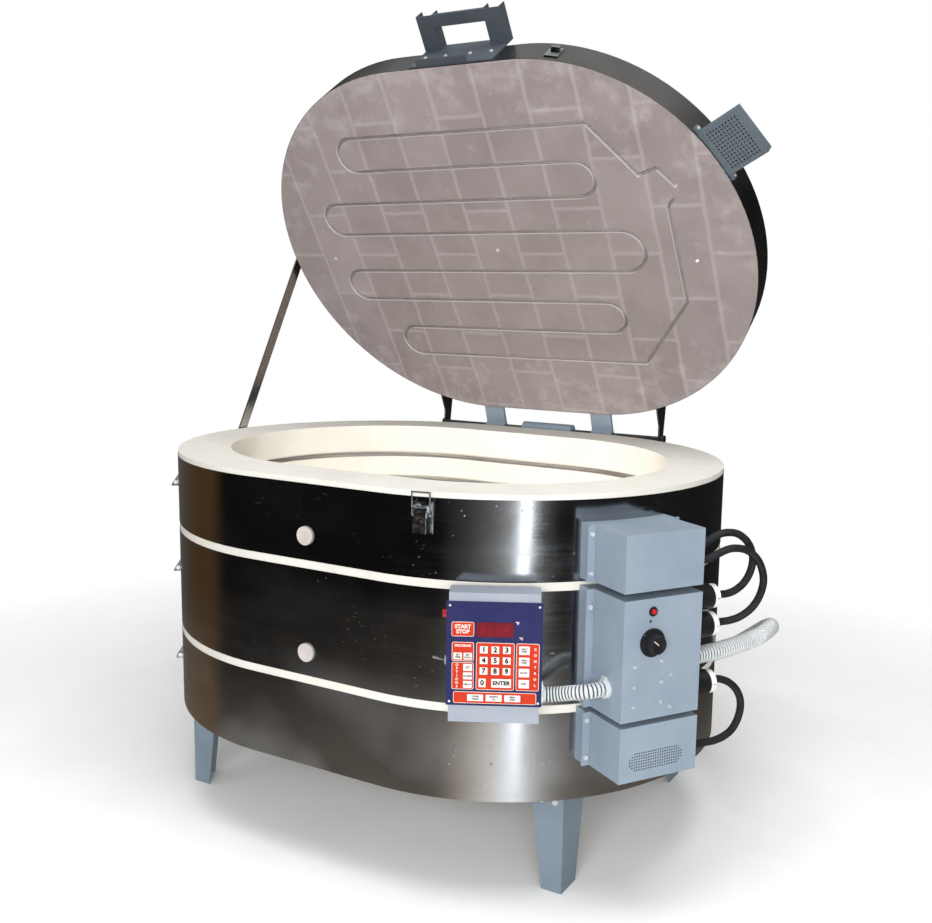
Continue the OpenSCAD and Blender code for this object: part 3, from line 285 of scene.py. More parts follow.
def ribbed(name, route, diameter, pitch, plain_end=0.0):
    """A ribbed tube along a route; the plain end leaves room for a fitting."""
    path = smooth([Vector(p) / 1000 for p in route], 10)
    total = length_of(path)
    ribs = round((total - plain_end) / pitch)
    step = (total - plain_end) / ribs
    where = [(i + f) * step for i in range(ribs) for f, _ in HOOP] + [total - plain_end]
    size = [g for _ in range(ribs) for _, g in HOOP] + [HOOP[0][1]]
    if plain_end:
        where.append(total)
        size.append(HOOP[0][1])
    verts, faces = sweep(along(path, where), np.array(size) * diameter / 2, TUBE_SIDES)
    obj = mesh_object(name, verts, faces, "kiln", smooth_angle=60)
    return obj, path, total


def paint_groove_shade(obj):
    """The faces in the grooves take the second material, a darker metal that paints the grooves' shade."""
    for face in obj.data.polygons:
        ring = face.index // TUBE_SIDES
        face.material_index = int(ring % len(HOOP) == len(HOOP) - 1)


FITTING_LENGTH = 0.040
supply, supply_path, supply_length = ribbed(
    "supply_conduit_ribs", SUPPLY_ROUTE, SUPPLY_D, SUPPLY_PITCH, plain_end=FITTING_LENGTH)
link, _, link_length = ribbed("controller_conduit_ribs", CONTROLLER_ROUTE, LINK_D, LINK_PITCH)
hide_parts("controller_conduit")


# Body, collar and thread of the fitting, as (millimetres along it, radius)
FITTING = np.array([
    (0, 16.6), (1, 21), (12, 21), (13, 22), (22, 22), (23, 18), (26, 17), (26.5, 16.2), (29, 17),
    (29.5, 16.2), (32, 17), (32.5, 16.2), (35, 17), (35.5, 16.2), (39.5, 16.4)]) / 1000


def supply_fitting():
    """Turned fitting on the far end of the supply conduit."""
    end = along(supply_path, supply_length - FITTING_LENGTH + FITTING[:, 0])
    verts, faces = sweep(end, FITTING[:, 1], 24)
    obj = mesh_object("supply_end_fitting", verts, faces, "kiln", smooth_angle=35)
    return obj


fitting = supply_fitting()
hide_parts("supply_conduit")
print("supply conduit %.2f m, controller conduit %.3f m" % (supply_length, link_length))

# %% [markdown]
# ## Wound elements
#
# The lid element is a spring of resistance wire lying in a groove that runs to and fro over
# the brick. The same spring lies in grooves round the chamber wall.

# %% Route of the lid element
LID_FACE_Z = 768.5
GROOVE_DEEP, COIL_D = 9.0, 8.0
RUN_MIDDLE, RUN_INNER, RUN_PITCH = -10, 52, 84
BEND_STEPS = 16
# Ends of the eight runs
RUN_LEFT = [-313, -313, -421, -421, -421, -421, -313, -313]
RUN_RIGHT = [270, 243, 243, 314, 314, 243, 243, 292]
LAST_RUN, HALF_RUNS = len(RUN_LEFT) - 1, len(RUN_LEFT) // 2


def run_y(i):
    """Where a run lies across the lid: half of them on either side of the middle."""
    if i < HALF_RUNS:
        return RUN_MIDDLE - RUN_INNER - (HALF_RUNS - 1 - i) * RUN_PITCH
    return RUN_MIDDLE + RUN_INNER + (i - HALF_RUNS) * RUN_PITCH


def lid_route():
    """The centre line of the lid element, as (x, y) of the shut lid."""
    pts = [(460, -166), (426, -206), (384, -192), (290, run_y(0))]
    for i in range(LAST_RUN + 1):
        ends = [(RUN_RIGHT[i], run_y(i)), (RUN_LEFT[i], run_y(i))]
        pts += ends if i % 2 == 0 else ends[::-1]
        if i == LAST_RUN:
            break
        left = i % 2 == 0
        x = RUN_LEFT[i] if left else RUN_RIGHT[i]
        r = (run_y(i + 1) - run_y(i)) / 2
        side = -1 if left else 1
        for k in range(1, BEND_STEPS):
            a = math.pi * k / BEND_STEPS
            pts.append((x + side * r * math.sin(a), run_y(i) + r - r * math.cos(a)))
    return pts + [(312, run_y(LAST_RUN)), (441, 121), (436, -118), (452, -136)]


print("points on the route of the lid element:", len(lid_route()))

# %% [markdown]
# ## Winding the wire
#
# A spring could be a screw modifier, but that only follows a straight axis. Here the wire's
# centre line is worked out point by point round the route and then swept like a cord, with few
# sides, because the wire is thin and there are many turns.

# %% Winding a wire round a route
def wound(pts, radius, pitch, wire, per_turn, closed=False):
    """Vertices and faces of a spring of this radius whose axis follows the points."""
    pts = np.asarray(pts)
    if closed:
        pts = np.concatenate([pts, pts[:1]])
    total = stations(pts)[-1]
    turns = int(total / pitch)
    where = np.linspace(0, total, turns * per_turn + 1)
    axis = along(pts, where)
    u, v = carried_frames(axis)
    a = np.arange(len(where)) * 2 * math.pi / per_turn
    line = axis + radius * (np.cos(a)[:, None] * u + np.sin(a)[:, None] * v)
    return sweep(line, np.full(len(line), wire / 2), 4), turns


def coil_piece(name, verts, faces, body, node):
    obj = mesh_object(name, verts, faces, body, smooth_angle=0)
    obj.data.shade_smooth()
    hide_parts(node)
    return obj


def lid_coil():
    z = LID_FACE_Z + GROOVE_DEEP - COIL_D / 2
    pts = [list(lid_point(x, y, z)) for x, y in lid_route()]
    (verts, faces), turns = wound(pts, radius=0.0033, pitch=0.0044, wire=0.0014, per_turn=8)
    return coil_piece("lid_element_coil", verts, faces, "lid", "lid_element"), turns


def oval_route(r, z, count=90):
    """An oval of end radius r at one height, in millimetres."""
    a = np.linspace(-math.pi / 2, math.pi / 2, count)
    right = np.stack([HALF_STRAIGHT + r * np.cos(a), r * np.sin(a)], 1)
    flat = np.concatenate([right, -right])
    return np.column_stack([flat, np.full(len(flat), z)])


# Middle of each groove round the chamber; the wire lies on the groove's floor
RING_HEIGHTS = (292, 345, 397, 460, 523, 632, 695)
CHAMBER_R, RING_GROOVE_DEEP, RING_COIL_R, RING_DROP = 353, 15, 5, 2


def ring_coils():
    verts, faces, turns = [], [], 0
    for z in RING_HEIGHTS:
        route = oval_route(CHAMBER_R + RING_GROOVE_DEEP - RING_COIL_R, z - RING_DROP) / 1000
        (v, f), n = wound(route, radius=0.0042, pitch=0.0062, wire=0.0018, per_turn=6, closed=True)
        k = sum(len(x) for x in verts)
        verts.append(v)
        faces += [tuple(i + k for i in face) for face in f]
        turns += n
    verts = np.concatenate(verts)
    return coil_piece("ring_element_coils", verts, faces, "kiln", "ring_elements"), turns


lid_element, lid_turns = lid_coil()
ring_elements, ring_turns = ring_coils()
print("turns of wire: lid %d, chamber %d" % (lid_turns, ring_turns))

# %% [markdown]
# ## Building materials from nodes
#
# A few small functions keep every material short: one turns a screen colour into the linear
# colour a shader wants, one adds a node, sets its values and links its inputs, and the others
# wrap the nodes used most. Patterns use the object's own coordinates, which are metres, so grain
# and bricks have their real size.

# %% Node helpers
def rgb(code):
    """A screen colour such as 8aa0b0 as a linear colour."""
    out = []
    for k in (0, 2, 4):
        c = int(code[k:k + 2], 16) / 255
        out.append(c / 12.92 if c <= 0.04045 else ((c + 0.055) / 1.055) ** 2.4)
    return (*out, 1.0)


def add(tree, kind, inputs=None, **settings):
    node = tree.nodes.new(kind)
    for key, value in settings.items():
        setattr(node, key, value)
    for key, value in (inputs or {}).items():
        if isinstance(value, bpy.types.NodeSocket):
            tree.links.new(value, node.inputs[key])
        else:
            node.inputs[key].default_value = value
    return node


def calc(tree, operation, *values):
    """One step of arithmetic on sockets or numbers."""
    return add(tree, "ShaderNodeMath", dict(enumerate(values)), operation=operation).outputs[0]


def shift(tree, operation, *values):
    """One step of arithmetic on vectors."""
    return add(tree, "ShaderNodeVectorMath", dict(enumerate(values)), operation=operation).outputs[0]


def distance_from_origin(tree, vector):
    return add(tree, "ShaderNodeVectorMath", {0: vector}, operation="LENGTH").outputs["Value"]


def blend(tree, factor, a, b, kind="MIX"):
    """Two colours, mixed or added."""
    return add(tree, "ShaderNodeMix", {"Factor": factor, "A": a, "B": b},
               data_type="RGBA", blend_type=kind).outputs["Result"]


def spread(tree, value, start, end, low=0.0, high=1.0):
    """A value carried from one range to another."""
    return add(tree, "ShaderNodeMapRange", {
        "Value": value, "From Min": start, "From Max": end, "To Min": low, "To Max": high}).outputs[0]


def new_material(name, **values):
    """A material with one Principled shader, with its tree, shader and coordinates."""
    mat = bpy.data.materials.new(name)
    mat.use_nodes = True
    tree = mat.node_tree
    shader = tree.nodes["Principled BSDF"]
    for key, value in values.items():
        shader.inputs[key].default_value = value
    where = add(tree, "ShaderNodeTexCoord").outputs["Object"]
    return mat, tree, shader, where


def noise(tree, where, scale, detail=3.0, stretch=None, rough=0.55):
    if stretch:
        where = add(tree, "ShaderNodeMapping", {"Vector": where, "Scale": stretch}).outputs[0]
    return add(tree, "ShaderNodeTexNoise", {
        "Vector": where, "Scale": scale, "Detail": detail, "Roughness": rough}).outputs["Fac"]


def ramp(tree, fac, *stops):
    """Colours or grey values along a factor, as (place, colour)."""
    node = add(tree, "ShaderNodeValToRGB", {"Fac": fac})
    band = node.color_ramp.elements
    while len(band) < len(stops):
        band.new(0.5)
    for spot, (place, colour) in zip(band, stops):
        spot.position = place
        spot.color = colour if not isinstance(colour, float) else (colour, colour, colour, 1)
    return node.outputs["Color"]


def bump(tree, shader, height, distance, strength=1.0, after=None):
    inputs = {"Height": height, "Distance": distance, "Strength": strength}
    if after:
        inputs["Normal"] = after
    normal = add(tree, "ShaderNodeBump", inputs).outputs["Normal"]
    tree.links.new(normal, shader.inputs["Normal"])
    return normal


print("a mid grey on screen is %.3f in the shader" % rgb("808080")[0])

# %% [markdown]
# ## Sheet metal
#
# The jackets are bright stainless sheet: dark where the room is dark, with a fine grain along
# the sheet, faint waves from rolling, and smears where hands and heat have dulled it.

# %% Stainless
DUST_DULLS, SPECK_RISE = 0.04, 0.0016
DUST_TOP, DUST_FOOT = 0.44, 0.24


def stainless(name, light, dark, low, high, wave=0.0016, dust=0.0):
    mat, tree, shader, where = new_material(name, Metallic=1.0)
    grain = noise(tree, where, 1.0, 2.0, stretch=(6, 6, 1400))
    smear = noise(tree, where, 5.0, 6.0, stretch=(1, 1, 1.6))
    cloud = noise(tree, where, 2.4, 3.0)
    lines = noise(tree, where, 1.0, 2.0, stretch=(2, 2, 520))
    worn = calc(tree, "ADD", ramp(tree, smear, (0.35, low), (0.7, high)),
                ramp(tree, lines, (0.45, 0.0), (0.8, 0.08)))
    tree.links.new(ramp(tree, cloud, (0.3, rgb(dark)), (0.7, rgb(light))), shader.inputs["Base Color"])
    if dust:
        low_down, specks = film(tree, shader, where, dust)
        worn = calc(tree, "MULTIPLY_ADD", low_down, DUST_DULLS, worn)
    tree.links.new(worn, shader.inputs["Roughness"])
    first = bump(tree, shader, cloud, wave, 0.5)
    second = bump(tree, shader, grain, 0.00001, 0.08, first)
    if dust:
        bump(tree, shader, specks, SPECK_RISE, 1.0, second)
    return mat


def film(tree, shader, where, most):
    """Dust and wiping marks: a thin dull film, thicker low on the kiln, in soft arcs."""
    swirl = add(tree, "ShaderNodeTexWave", {
        "Vector": where, "Scale": 1.1, "Distortion": 9.0, "Detail": 3.0, "Detail Scale": 1.6},
        bands_direction="Z").outputs["Fac"]
    patch = noise(tree, where, 4.0, 5.0, rough=0.6)
    both = calc(tree, "MULTIPLY", swirl, patch)
    height = add(tree, "ShaderNodeSeparateXYZ", {"Vector": where}).outputs["Z"]
    low_down = spread(tree, height, DUST_TOP, DUST_FOOT, 0.08, 1.0)
    dull = ramp(tree, calc(tree, "MULTIPLY", both, low_down), (0.05, 0.0), (0.55, most))
    cells = add(tree, "ShaderNodeTexVoronoi", {"Vector": where, "Scale": 70.0}).outputs["Distance"]
    few = ramp(tree, noise(tree, where, 9.0, 3.0), (0.5, 0.0), (0.62, 0.3))
    specks = calc(tree, "MULTIPLY", ramp(tree, cells, (0.05, 1.0), (0.15, 0.0)), few)
    tree.links.new(calc(tree, "SUBTRACT", 1.0, dull), shader.inputs["Metallic"])
    return low_down, specks


jacket_steel = stainless("stainless_jacket", "b9babb", "9b9c9d", 0.09, 0.22, dust=0.16)
band_steel = stainless("stainless_lid_band", "a9a8a6", "858482", 0.16, 0.34, 0.001)
bar_steel = stainless("polished_flat_bar", "d0cdc8", "aaa49c", 0.12, 0.3, 0.0004)


def bright_metal(name, light, shade, rough, metallic, scale, dents=0.00003):
    mat, tree, shader, where = new_material(name, Metallic=metallic)
    wear = noise(tree, where, scale, 4.0)
    tree.links.new(ramp(tree, wear, (0.3, rough), (0.75, rough + 0.16)), shader.inputs["Roughness"])
    tree.links.new(ramp(tree, wear, (0.3, rgb(shade)), (0.6, rgb(light))), shader.inputs["Base Color"])
    bump(tree, shader, wear, dents, 0.25)
    return mat


plated = bright_metal("bright_plated_steel", "9ba0a4", "80868a", 0.10, 0.97, 40.0)
latch_chrome = bright_metal("chromed_latch_steel", "dde1e3", "bcc2c5", 0.12, 1.0, 75.0, dents=0.006)
screw_steel = bright_metal("plated_screw_steel", "f0f1f1", "dcdedf", 0.2, 0.6, 60.0)
conduit_metal = bright_metal("galvanised_strip", "e4e8e9", "d9dedf", 0.22, 0.45, 14.0)
# A darker strip metal for the conduits' grooves: painted shade between the ribs
painted_groove_shade = bright_metal("galvanised_strip_painted_groove_shade", "4a5256", "3b4347", 0.45, 0.4, 14.0)
print("metals:", len(bpy.data.materials))

# %% [markdown]
# ## Paint
#
# The boxes and legs have a blue-grey satin enamel with a slight orange-peel surface. Dust sits
# in it as faint lighter clouds.

# %% Enamel
PEEL_SCALE = 260.0


def enamel(name, base, light, rough=0.42):
    mat, tree, shader, where = new_material(name)
    cloud = noise(tree, where, 9.0, 5.0)
    peel = noise(tree, where, PEEL_SCALE, 2.0)
    tree.links.new(ramp(tree, cloud, (0.3, rgb(base)), (0.72, rgb(light))), shader.inputs["Base Color"])
    tree.links.new(ramp(tree, cloud, (0.3, rough), (0.8, rough + 0.16)), shader.inputs["Roughness"])
    bump(tree, shader, peel, 0.00012, 0.35)
    return mat


box_paint = enamel("blue_grey_enamel", "7c8997", "87939f")
leg_paint = enamel("blue_grey_enamel_legs", "6a7883", "75828d", 0.45)
handle_paint = enamel("slate_enamel", "3a4047", "454b52", 0.4)
lid_box_paint = enamel("slate_box_enamel", "4c565e", "58626a", 0.45)
housing_paint = enamel("pale_grey_enamel", "868d98", "9298a2", 0.4)
print("with the paints:", len(bpy.data.materials))

# %% [markdown]
# ## Firebrick
#
# Insulating brick is soft and open, and the wall brick is nearly white. Grit and pores are too
# small to model, so they are a bump, and a faint cloud keeps the white from looking flat.

# %% Wall brick
def wall_brick():
    mat, tree, shader, where = new_material("white_insulating_brick", Roughness=0.95)
    cloud = noise(tree, where, 7.0, 5.0)
    grit = noise(tree, where, 700.0, 3.0)
    pores = add(tree, "ShaderNodeTexVoronoi", {"Vector": where, "Scale": 420.0}).outputs["Distance"]
    colour = ramp(tree, cloud, (0.25, rgb("c6c2ba")), (0.55, rgb("cfcdc6")), (0.8, rgb("cbc5b8")))
    tree.links.new(colour, shader.inputs["Base Color"])
    bump(tree, shader, calc(tree, "MULTIPLY", grit, pores), 0.0006, 0.5)
    return mat


white_brick = wall_brick()
print("wall brick:", white_brick.name)

# %% [markdown]
# ## The lid's brick
#
# The brick of the lid has gone grey and mauve in use, with pale joints and chalky rubbed patches
# near the edge. The pattern is drawn on the shut lid, where bricks are square to the axes, so the
# coordinates are turned back by the lid's angle first. Height under the face tells the groove apart,
# and the groove's walls are painted light to lift their shade.

# %% Lid brick
BRICK_LONG, BRICK_WIDE = 0.2286, 0.1143
# The pattern starts well outside the lid, so that its joints fall as in the photograph
PATTERN_X, PATTERN_Y = 20 * BRICK_LONG + BRICK_WIDE / 2, 5.19
JOINT_WOBBLE = 0.006
LID_MIDDLE_Y, OVAL_SQUASH = -0.52, 0.62
# Painted light in the element groove: how light it is, and how far under the face it reaches
GROOVE_PAINTED_LIGHT, GROOVE_PAINTED_LIGHT_REACH = 0.75, 0.02


def lid_brick():
    mat, tree, shader, where = new_material("grey_lid_brick", Roughness=0.96)
    moved = shift(tree, "SUBTRACT", where, tuple(HINGE))
    shut = add(tree, "ShaderNodeMapping", {"Vector": moved, "Rotation": (LID_OPEN, 0, 0)}).outputs[0]
    part = add(tree, "ShaderNodeSeparateXYZ", {"Vector": shut})
    across = calc(tree, "ADD", part.outputs["X"], PATTERN_X)
    ahead = calc(tree, "SUBTRACT", PATTERN_Y, part.outputs["Y"])
    flat = add(tree, "ShaderNodeCombineXYZ", {"X": ahead, "Y": across}).outputs[0]
    wobble = add(tree, "ShaderNodeTexNoise", {"Vector": shut, "Scale": 22.0, "Detail": 2.0})
    centred = shift(tree, "SUBTRACT", wobble.outputs["Color"], (0.5, 0.5, 0.5))
    laid = shift(tree, "ADD", flat, shift(tree, "MULTIPLY", centred, (JOINT_WOBBLE,) * 3))
    bricks = add(tree, "ShaderNodeTexBrick", {
        "Vector": laid, "Scale": 1.0, "Brick Width": BRICK_LONG, "Row Height": BRICK_WIDE,
        "Mortar Size": 0.0075, "Mortar Smooth": 1.0, "Bias": 0.0,
        "Color1": rgb("827877"), "Color2": rgb("908685"), "Mortar": rgb("a39b9a")}, offset=0.5)
    stain = noise(tree, shut, 6.0, 6.0, rough=0.65)
    stain = ramp(tree, stain, (0.25, rgb("776d6d")), (0.5, rgb("8c8382")), (0.75, rgb("9f9696")))
    tone = blend(tree, 0.45, bricks.outputs["Color"], stain)
    # Chalky patches, more of them towards the edge of the oval
    round_lid = shift(tree, "MULTIPLY", shut, (OVAL_SQUASH, 1.0, 1.0))
    reach = distance_from_origin(tree, shift(tree, "SUBTRACT", round_lid, (0, LID_MIDDLE_Y, 0)))
    edge = ramp(tree, reach, (0.26, 0.0), (0.47, 0.17))
    chalk = calc(tree, "ADD", noise(tree, shut, 17.0, 8.0, rough=0.72), edge)
    colour = blend(tree, ramp(tree, chalk, (0.60, 0.0), (0.92, 0.46)), tone, rgb("c6bfbe"))
    # Painted light in the element groove, just under the face: its walls are lightened against their shade
    face = LID_FACE_Z / 1000 - HINGE[2]
    depth = spread(tree, part.outputs["Z"], face, face + GROOVE_PAINTED_LIGHT_REACH)
    groove_painted_light = ramp(tree, depth, (0.0, 0.0), (0.01, 0.0), (0.05, GROOVE_PAINTED_LIGHT), (0.5, GROOVE_PAINTED_LIGHT), (0.55, 0.0))
    colour = blend(tree, groove_painted_light, colour, rgb("f4efec"))
    tree.links.new(colour, shader.inputs["Base Color"])
    first = bump(tree, shader, bricks.outputs["Fac"], 0.0006, 0.4)
    bump(tree, shader, noise(tree, shut, 600.0, 3.0), 0.0005, 0.45, first)
    return mat


grey_brick = lid_brick()
print("lid brick: %.1f by %.1f mm" % (BRICK_LONG * 1000, BRICK_WIDE * 1000))

# %% [markdown]
# ## Small parts
#
# Plastic, rubber, porcelain and element wire share one recipe: a colour that varies a little
# and a fine surface, with its own scale for each.

# %% Small-part materials
def grained(name, base, light, rough, scale, depth, metallic=0.0, coat=0.0, shine=0.5):
    mat, tree, shader, where = new_material(name, Metallic=metallic)
    shader.inputs["Coat Weight"].default_value = coat
    shader.inputs["Specular IOR Level"].default_value = shine
    grain = noise(tree, where, scale, 4.0)
    cloud = noise(tree, where, scale / 12, 3.0)
    tree.links.new(ramp(tree, cloud, (0.3, rgb(base)), (0.7, rgb(light))), shader.inputs["Base Color"])
    roughness = ramp(tree, grain, (0.3, rough), (0.75, min(rough + 0.15, 1.0)))
    tree.links.new(roughness, shader.inputs["Roughness"])
    bump(tree, shader, grain, depth, 0.4)
    return mat


rubber = grained("black_cord_rubber", "17181a", "232426", 0.5, 500.0, 0.0002)
black_plastic = grained("moulded_black_plastic", "121315", "1c1d20", 0.38, 700.0, 0.0001)
white_plastic = grained("white_plug_plastic", "d6d6d2", "e6e6e2", 0.4, 500.0, 0.0001)
porcelain = grained("bisque_porcelain", "aca5a2", "bdb6b2", 0.75, 400.0, 0.0003)
wire_metal = grained("oxidised_resistance_wire", "6a6260", "877e7b", 0.5, 300.0, 0.0001, metallic=0.1)
panel_blue = grained("blue_panel_film", "22244a", "272951", 0.5, 300.0, 0.00003, shine=0.2)
panel_red = grained("red_panel_film", "a82d18", "b2341c", 0.5, 300.0, 0.00003, shine=0.2)
panel_white = grained("white_panel_print", "c9bab0", "d2c6bd", 0.5, 300.0, 0.00003, shine=0.2)
key_white = grained("white_key_film", "cbc6c2", "d6d1cd", 0.5, 300.0, 0.00003, shine=0.2)
print_dark = grained("dark_key_print", "120f14", "1a161a", 0.6, 300.0, 0.00002, shine=0.1)
display_red = grained("dark_red_window", "560814", "6a0b1a", 0.3, 200.0, 0.00002, shine=0.3)
segment_red = grained("dim_red_segments", "74101d", "821522", 0.4, 200.0, 0.00002, shine=0.3)
lamp_red = grained("red_lamp_lens", "8f0c12", "a81418", 0.15, 200.0, 0.00004, coat=0.3)
print("all the materials:", len(bpy.data.materials))

# %% [markdown]
# ## Dressing the rigid pieces
#
# Every rigid piece keeps its mesh and takes its material from one table, which says which material
# goes on which nodes; what the table leaves out is printed.

# %% Materials for the model's nodes
LEGS = ["leg_%s_%s" % (a, b) for a in ("front", "back") for b in ("right", "left")]
LEVELS = ("upper", "middle", "lower")
BOXES = [level + "_box_" + part for part in ("base", "cover") for level in LEVELS]
CORDS = [level + "_cord" for level in LEVELS]
PEEPHOLE_PLUGS = ["upper_peephole_plug", "middle_peephole_plug"]
DRESS = {
    jacket_steel: ["lower_jacket", "middle_jacket", "upper_jacket", "bottom_pan"],
    band_steel: ["lid_band", "hinge_ears"],
    bar_steel: ["support_arm"],
    screw_steel: ["body_fasteners", "lid_fasteners"],
    plated: ["hinge_rod", "arm_bracket", "arm_stud", "toggle_lever"],
    latch_chrome: ["latch_plate", "latch_lever", "latch_bail", "latch_keeper"],
    conduit_metal: ["conduit_connectors", "supply_conduit", "controller_conduit"],
    box_paint: BOXES + ["hinge_sleeve", "hinge_straps"],
    leg_paint: LEGS + ["stand_frame"],
    handle_paint: ["lid_handle"],
    lid_box_paint: ["lid_box"],
    housing_paint: ["controller_housing"],
    white_brick: ["floor_slab", "lower_brick_ring", "middle_brick_ring", "upper_brick_ring"],
    grey_brick: ["lid_slab"],
    porcelain: PEEPHOLE_PLUGS + ["thermocouple"],
    black_plastic: ["selector_switch", "power_relay", "outlets", "plugs", "selector_knob"],
    white_plastic: ["plug_caps"],
    rubber: CORDS,
    panel_blue: ["controller_panel"],
    key_white: ["keys"],
    display_red: ["display_window"],
    lamp_red: ["pilot_light", "fuse_cap"],
    wire_metal: ["ring_elements", "lid_element"],
}


def dress(obj, mat):
    obj.data.materials.clear()
    obj.data.materials.append(mat)


for mat, names in DRESS.items():
    for name in names:
        dress(nodes[name], mat)
for cord in cords:
    dress(cord, rubber)
dress(fitting, conduit_metal)
for piece in (supply, link):
    dress(piece, conduit_metal)
    # Each conduit gets the darker groove metal as its second material: painted shade in its grooves
    piece.data.materials.append(painted_groove_shade)
    paint_groove_shade(piece)
dress(lid_element, wire_metal)
dress(ring_elements, wire_metal)
left = [n for n in nodes if not nodes[n].data.materials or nodes[n].data.materials[0] not in DRESS]
print("nodes without a material of their own:", left)

# %% [markdown]
# ## Soft edges
#
# A folded or moulded edge always has a small radius that catches light. A bevel modifier gives
# one without touching the mesh underneath, with a width for each kind of piece.

# %% Bevels
SHARP = math.radians(50)
BEVELS = {
    0.0012: BOXES + ["controller_housing", "lid_handle", "lid_box"],
    0.0006: LEGS + ["support_arm", "latch_plate", "latch_lever", "plugs", "plug_caps", "outlets",
                    "controller_panel"],
    0.0025: PEEPHOLE_PLUGS,
}
for width, names in BEVELS.items():
    for name in names:
        edge = nodes[name].modifiers.new("edge", "BEVEL")
        edge.width = width
        edge.segments = 2
        edge.limit_method = "ANGLE"
        edge.angle_limit = SHARP
        edge.harden_normals = False
print("pieces with soft edges:", sum(len(names) for names in BEVELS.values()))

# %% [markdown]
# ## The key panel
#
# The panel is a printed film. Red fields with pale outlines group the keys. Each field is a thin
# plate of its own, so that the print has a clean edge at any distance.

# %% Flat shapes on the panel
PANEL_FACE = 532.5
PANEL_TOP = 593.0
CORNER_STEPS = 5


def panel_matrix(x, u, z):
    """Puts something drawn flat, facing +Z, on the panel at u across and z up (millimetres)."""
    out, right, up = end_axes(PANEL_ANGLE)
    m = Matrix((right, up, out)).transposed().to_4x4()
    m.translation = at_right(PANEL_ANGLE, (x, u, z))
    return m


def rounded(bm, u0, u1, z0, z1, r, x0, x1, hole=None):
    """A plate with round corners between two depths; hole leaves a rim of that width."""

    def outline(inset, radius):
        pts = []
        for cx, cz, a0 in ((u1, z1, 0), (u0, z1, 90), (u0, z0, 180), (u1, z0, 270)):
            sx = -1 if cx == u1 else 1
            sz = -1 if cz == z1 else 1
            for k in range(CORNER_STEPS + 1):
                a = math.radians(a0 + 90 * k / CORNER_STEPS)
                pts.append((cx + sx * (inset + radius) + radius * math.cos(a),
                            cz + sz * (inset + radius) + radius * math.sin(a)))
        return pts

    def ring(pts, x):
        return [bm.verts.new(at_right(PANEL_ANGLE, (x, u, z))) for u, z in pts]

    low, high = ring(outline(0, r), x0), ring(outline(0, r), x1)
    n = len(low)
    for i in range(n):
        k = (i + 1) % n
        bm.faces.new((low[i], low[k], high[k], high[i]))
    if hole is None:
        bm.faces.new(high)
        return
    inner = ring(outline(hole, max(r - hole, 0.3)), x1)
    for i in range(n):
        k = (i + 1) % n
        bm.faces.new((high[i], high[k], inner[k], inner[i]))


def from_bmesh(bm, name):
    """A new object of the scene made of a finished bmesh."""
    mesh = bpy.data.meshes.new(name)
    bm.to_mesh(mesh)
    bm.free()
    return linked(name, mesh)


def piece_of(bm, name, mat, body="kiln"):
    """Turns a finished bmesh into a piece with its material, slot and body."""
    obj = from_bmesh(bm, name)
    dress(obj, mat)
    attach(obj, body)


def panel_piece(name, mat, plates):
    bm = bmesh.new()
    for plate in plates:
        rounded(bm, *plate)
    piece_of(bm, name, mat)


# Each field as left, right, top and foot, the last two measured down from the panel's top
DRAWN = [(-73, -35, 72, 106), (-73, -35, 108, 157), (-31, 35, 72, 157), (38, 78, 72, 157),
         (-70, 74, 161, 182), (-74, -35, 36, 62)]
FIELDS = [(u0, u1, PANEL_TOP - v1, PANEL_TOP - v0) for u0, u1, v0, v1 in DRAWN]
RED_INSET, RED_CORNER, RED_FROM, RED_TO = 0.9, 2.5, PANEL_FACE + 0.2, PANEL_FACE + 0.55
LINE_CORNER, LINE_WIDTH, LINE_FROM, LINE_TO = 3.2, 1.1, PANEL_FACE + 0.1, PANEL_FACE + 0.48
panel_piece("panel_red_fields", panel_red, [
    (u0 + RED_INSET, u1 - RED_INSET, z0 + RED_INSET, z1 - RED_INSET, RED_CORNER, RED_FROM, RED_TO)
    for u0, u1, z0, z1 in FIELDS])
panel_piece("panel_outlines", panel_white, [
    (*field, LINE_CORNER, LINE_FROM, LINE_TO, LINE_WIDTH) for field in FIELDS])
print("fields on the panel:", len(FIELDS))

# %% [markdown]
# ## Figures on the keys
#
# The keys carry plain figures and short words. Each could be a text object of its own. Here the
# text is turned into meshes and joined, so that all print of one colour is one piece.

# %% Lettering
LETTER_THICK, LETTER_WEIGHT = 0.00006, 0.000044


def lettering(name, mat, items):
    """items are (text, u, z, depth, height in mm)."""
    bm = bmesh.new()
    for text, u, z, x, height in items:
        curve = bpy.data.curves.new("letter", "FONT")
        curve.body = text
        curve.size = height / 1000
        curve.align_x = "CENTER"
        curve.align_y = "CENTER"
        curve.extrude = LETTER_THICK
        curve.offset = height * LETTER_WEIGHT
        curve.resolution_u = 3
        holder = linked("letter", curve)
        bpy.context.view_layer.update()
        mesh = bpy.data.meshes.new_from_object(holder.evaluated_get(bpy.context.evaluated_depsgraph_get()))
        mesh.transform(panel_matrix(x, u, z))
        bm.from_mesh(mesh)
        bpy.data.meshes.remove(mesh)
        bpy.data.objects.remove(holder)
        bpy.data.curves.remove(curve)
    piece_of(bm, name, mat)


# Depths that the print lies at: on a key, on a red field, and on the bare film
PRINT_RISE = 0.07
KEY_TOP, FIELD_TOP, FILM_TOP = PANEL_FACE + 1.2 + PRINT_RISE, RED_TO + PRINT_RISE, PANEL_FACE + PRINT_RISE
FIGURE_H, ENTER_H, START_H, WORD_H, SMALL_H = 12.5, 10.0, 9.5, 6, 4.4
KEY_GAP, LOW_ROW_EXTRA = 6.5, 4
timing, options, numbers, control, review, start = FIELDS


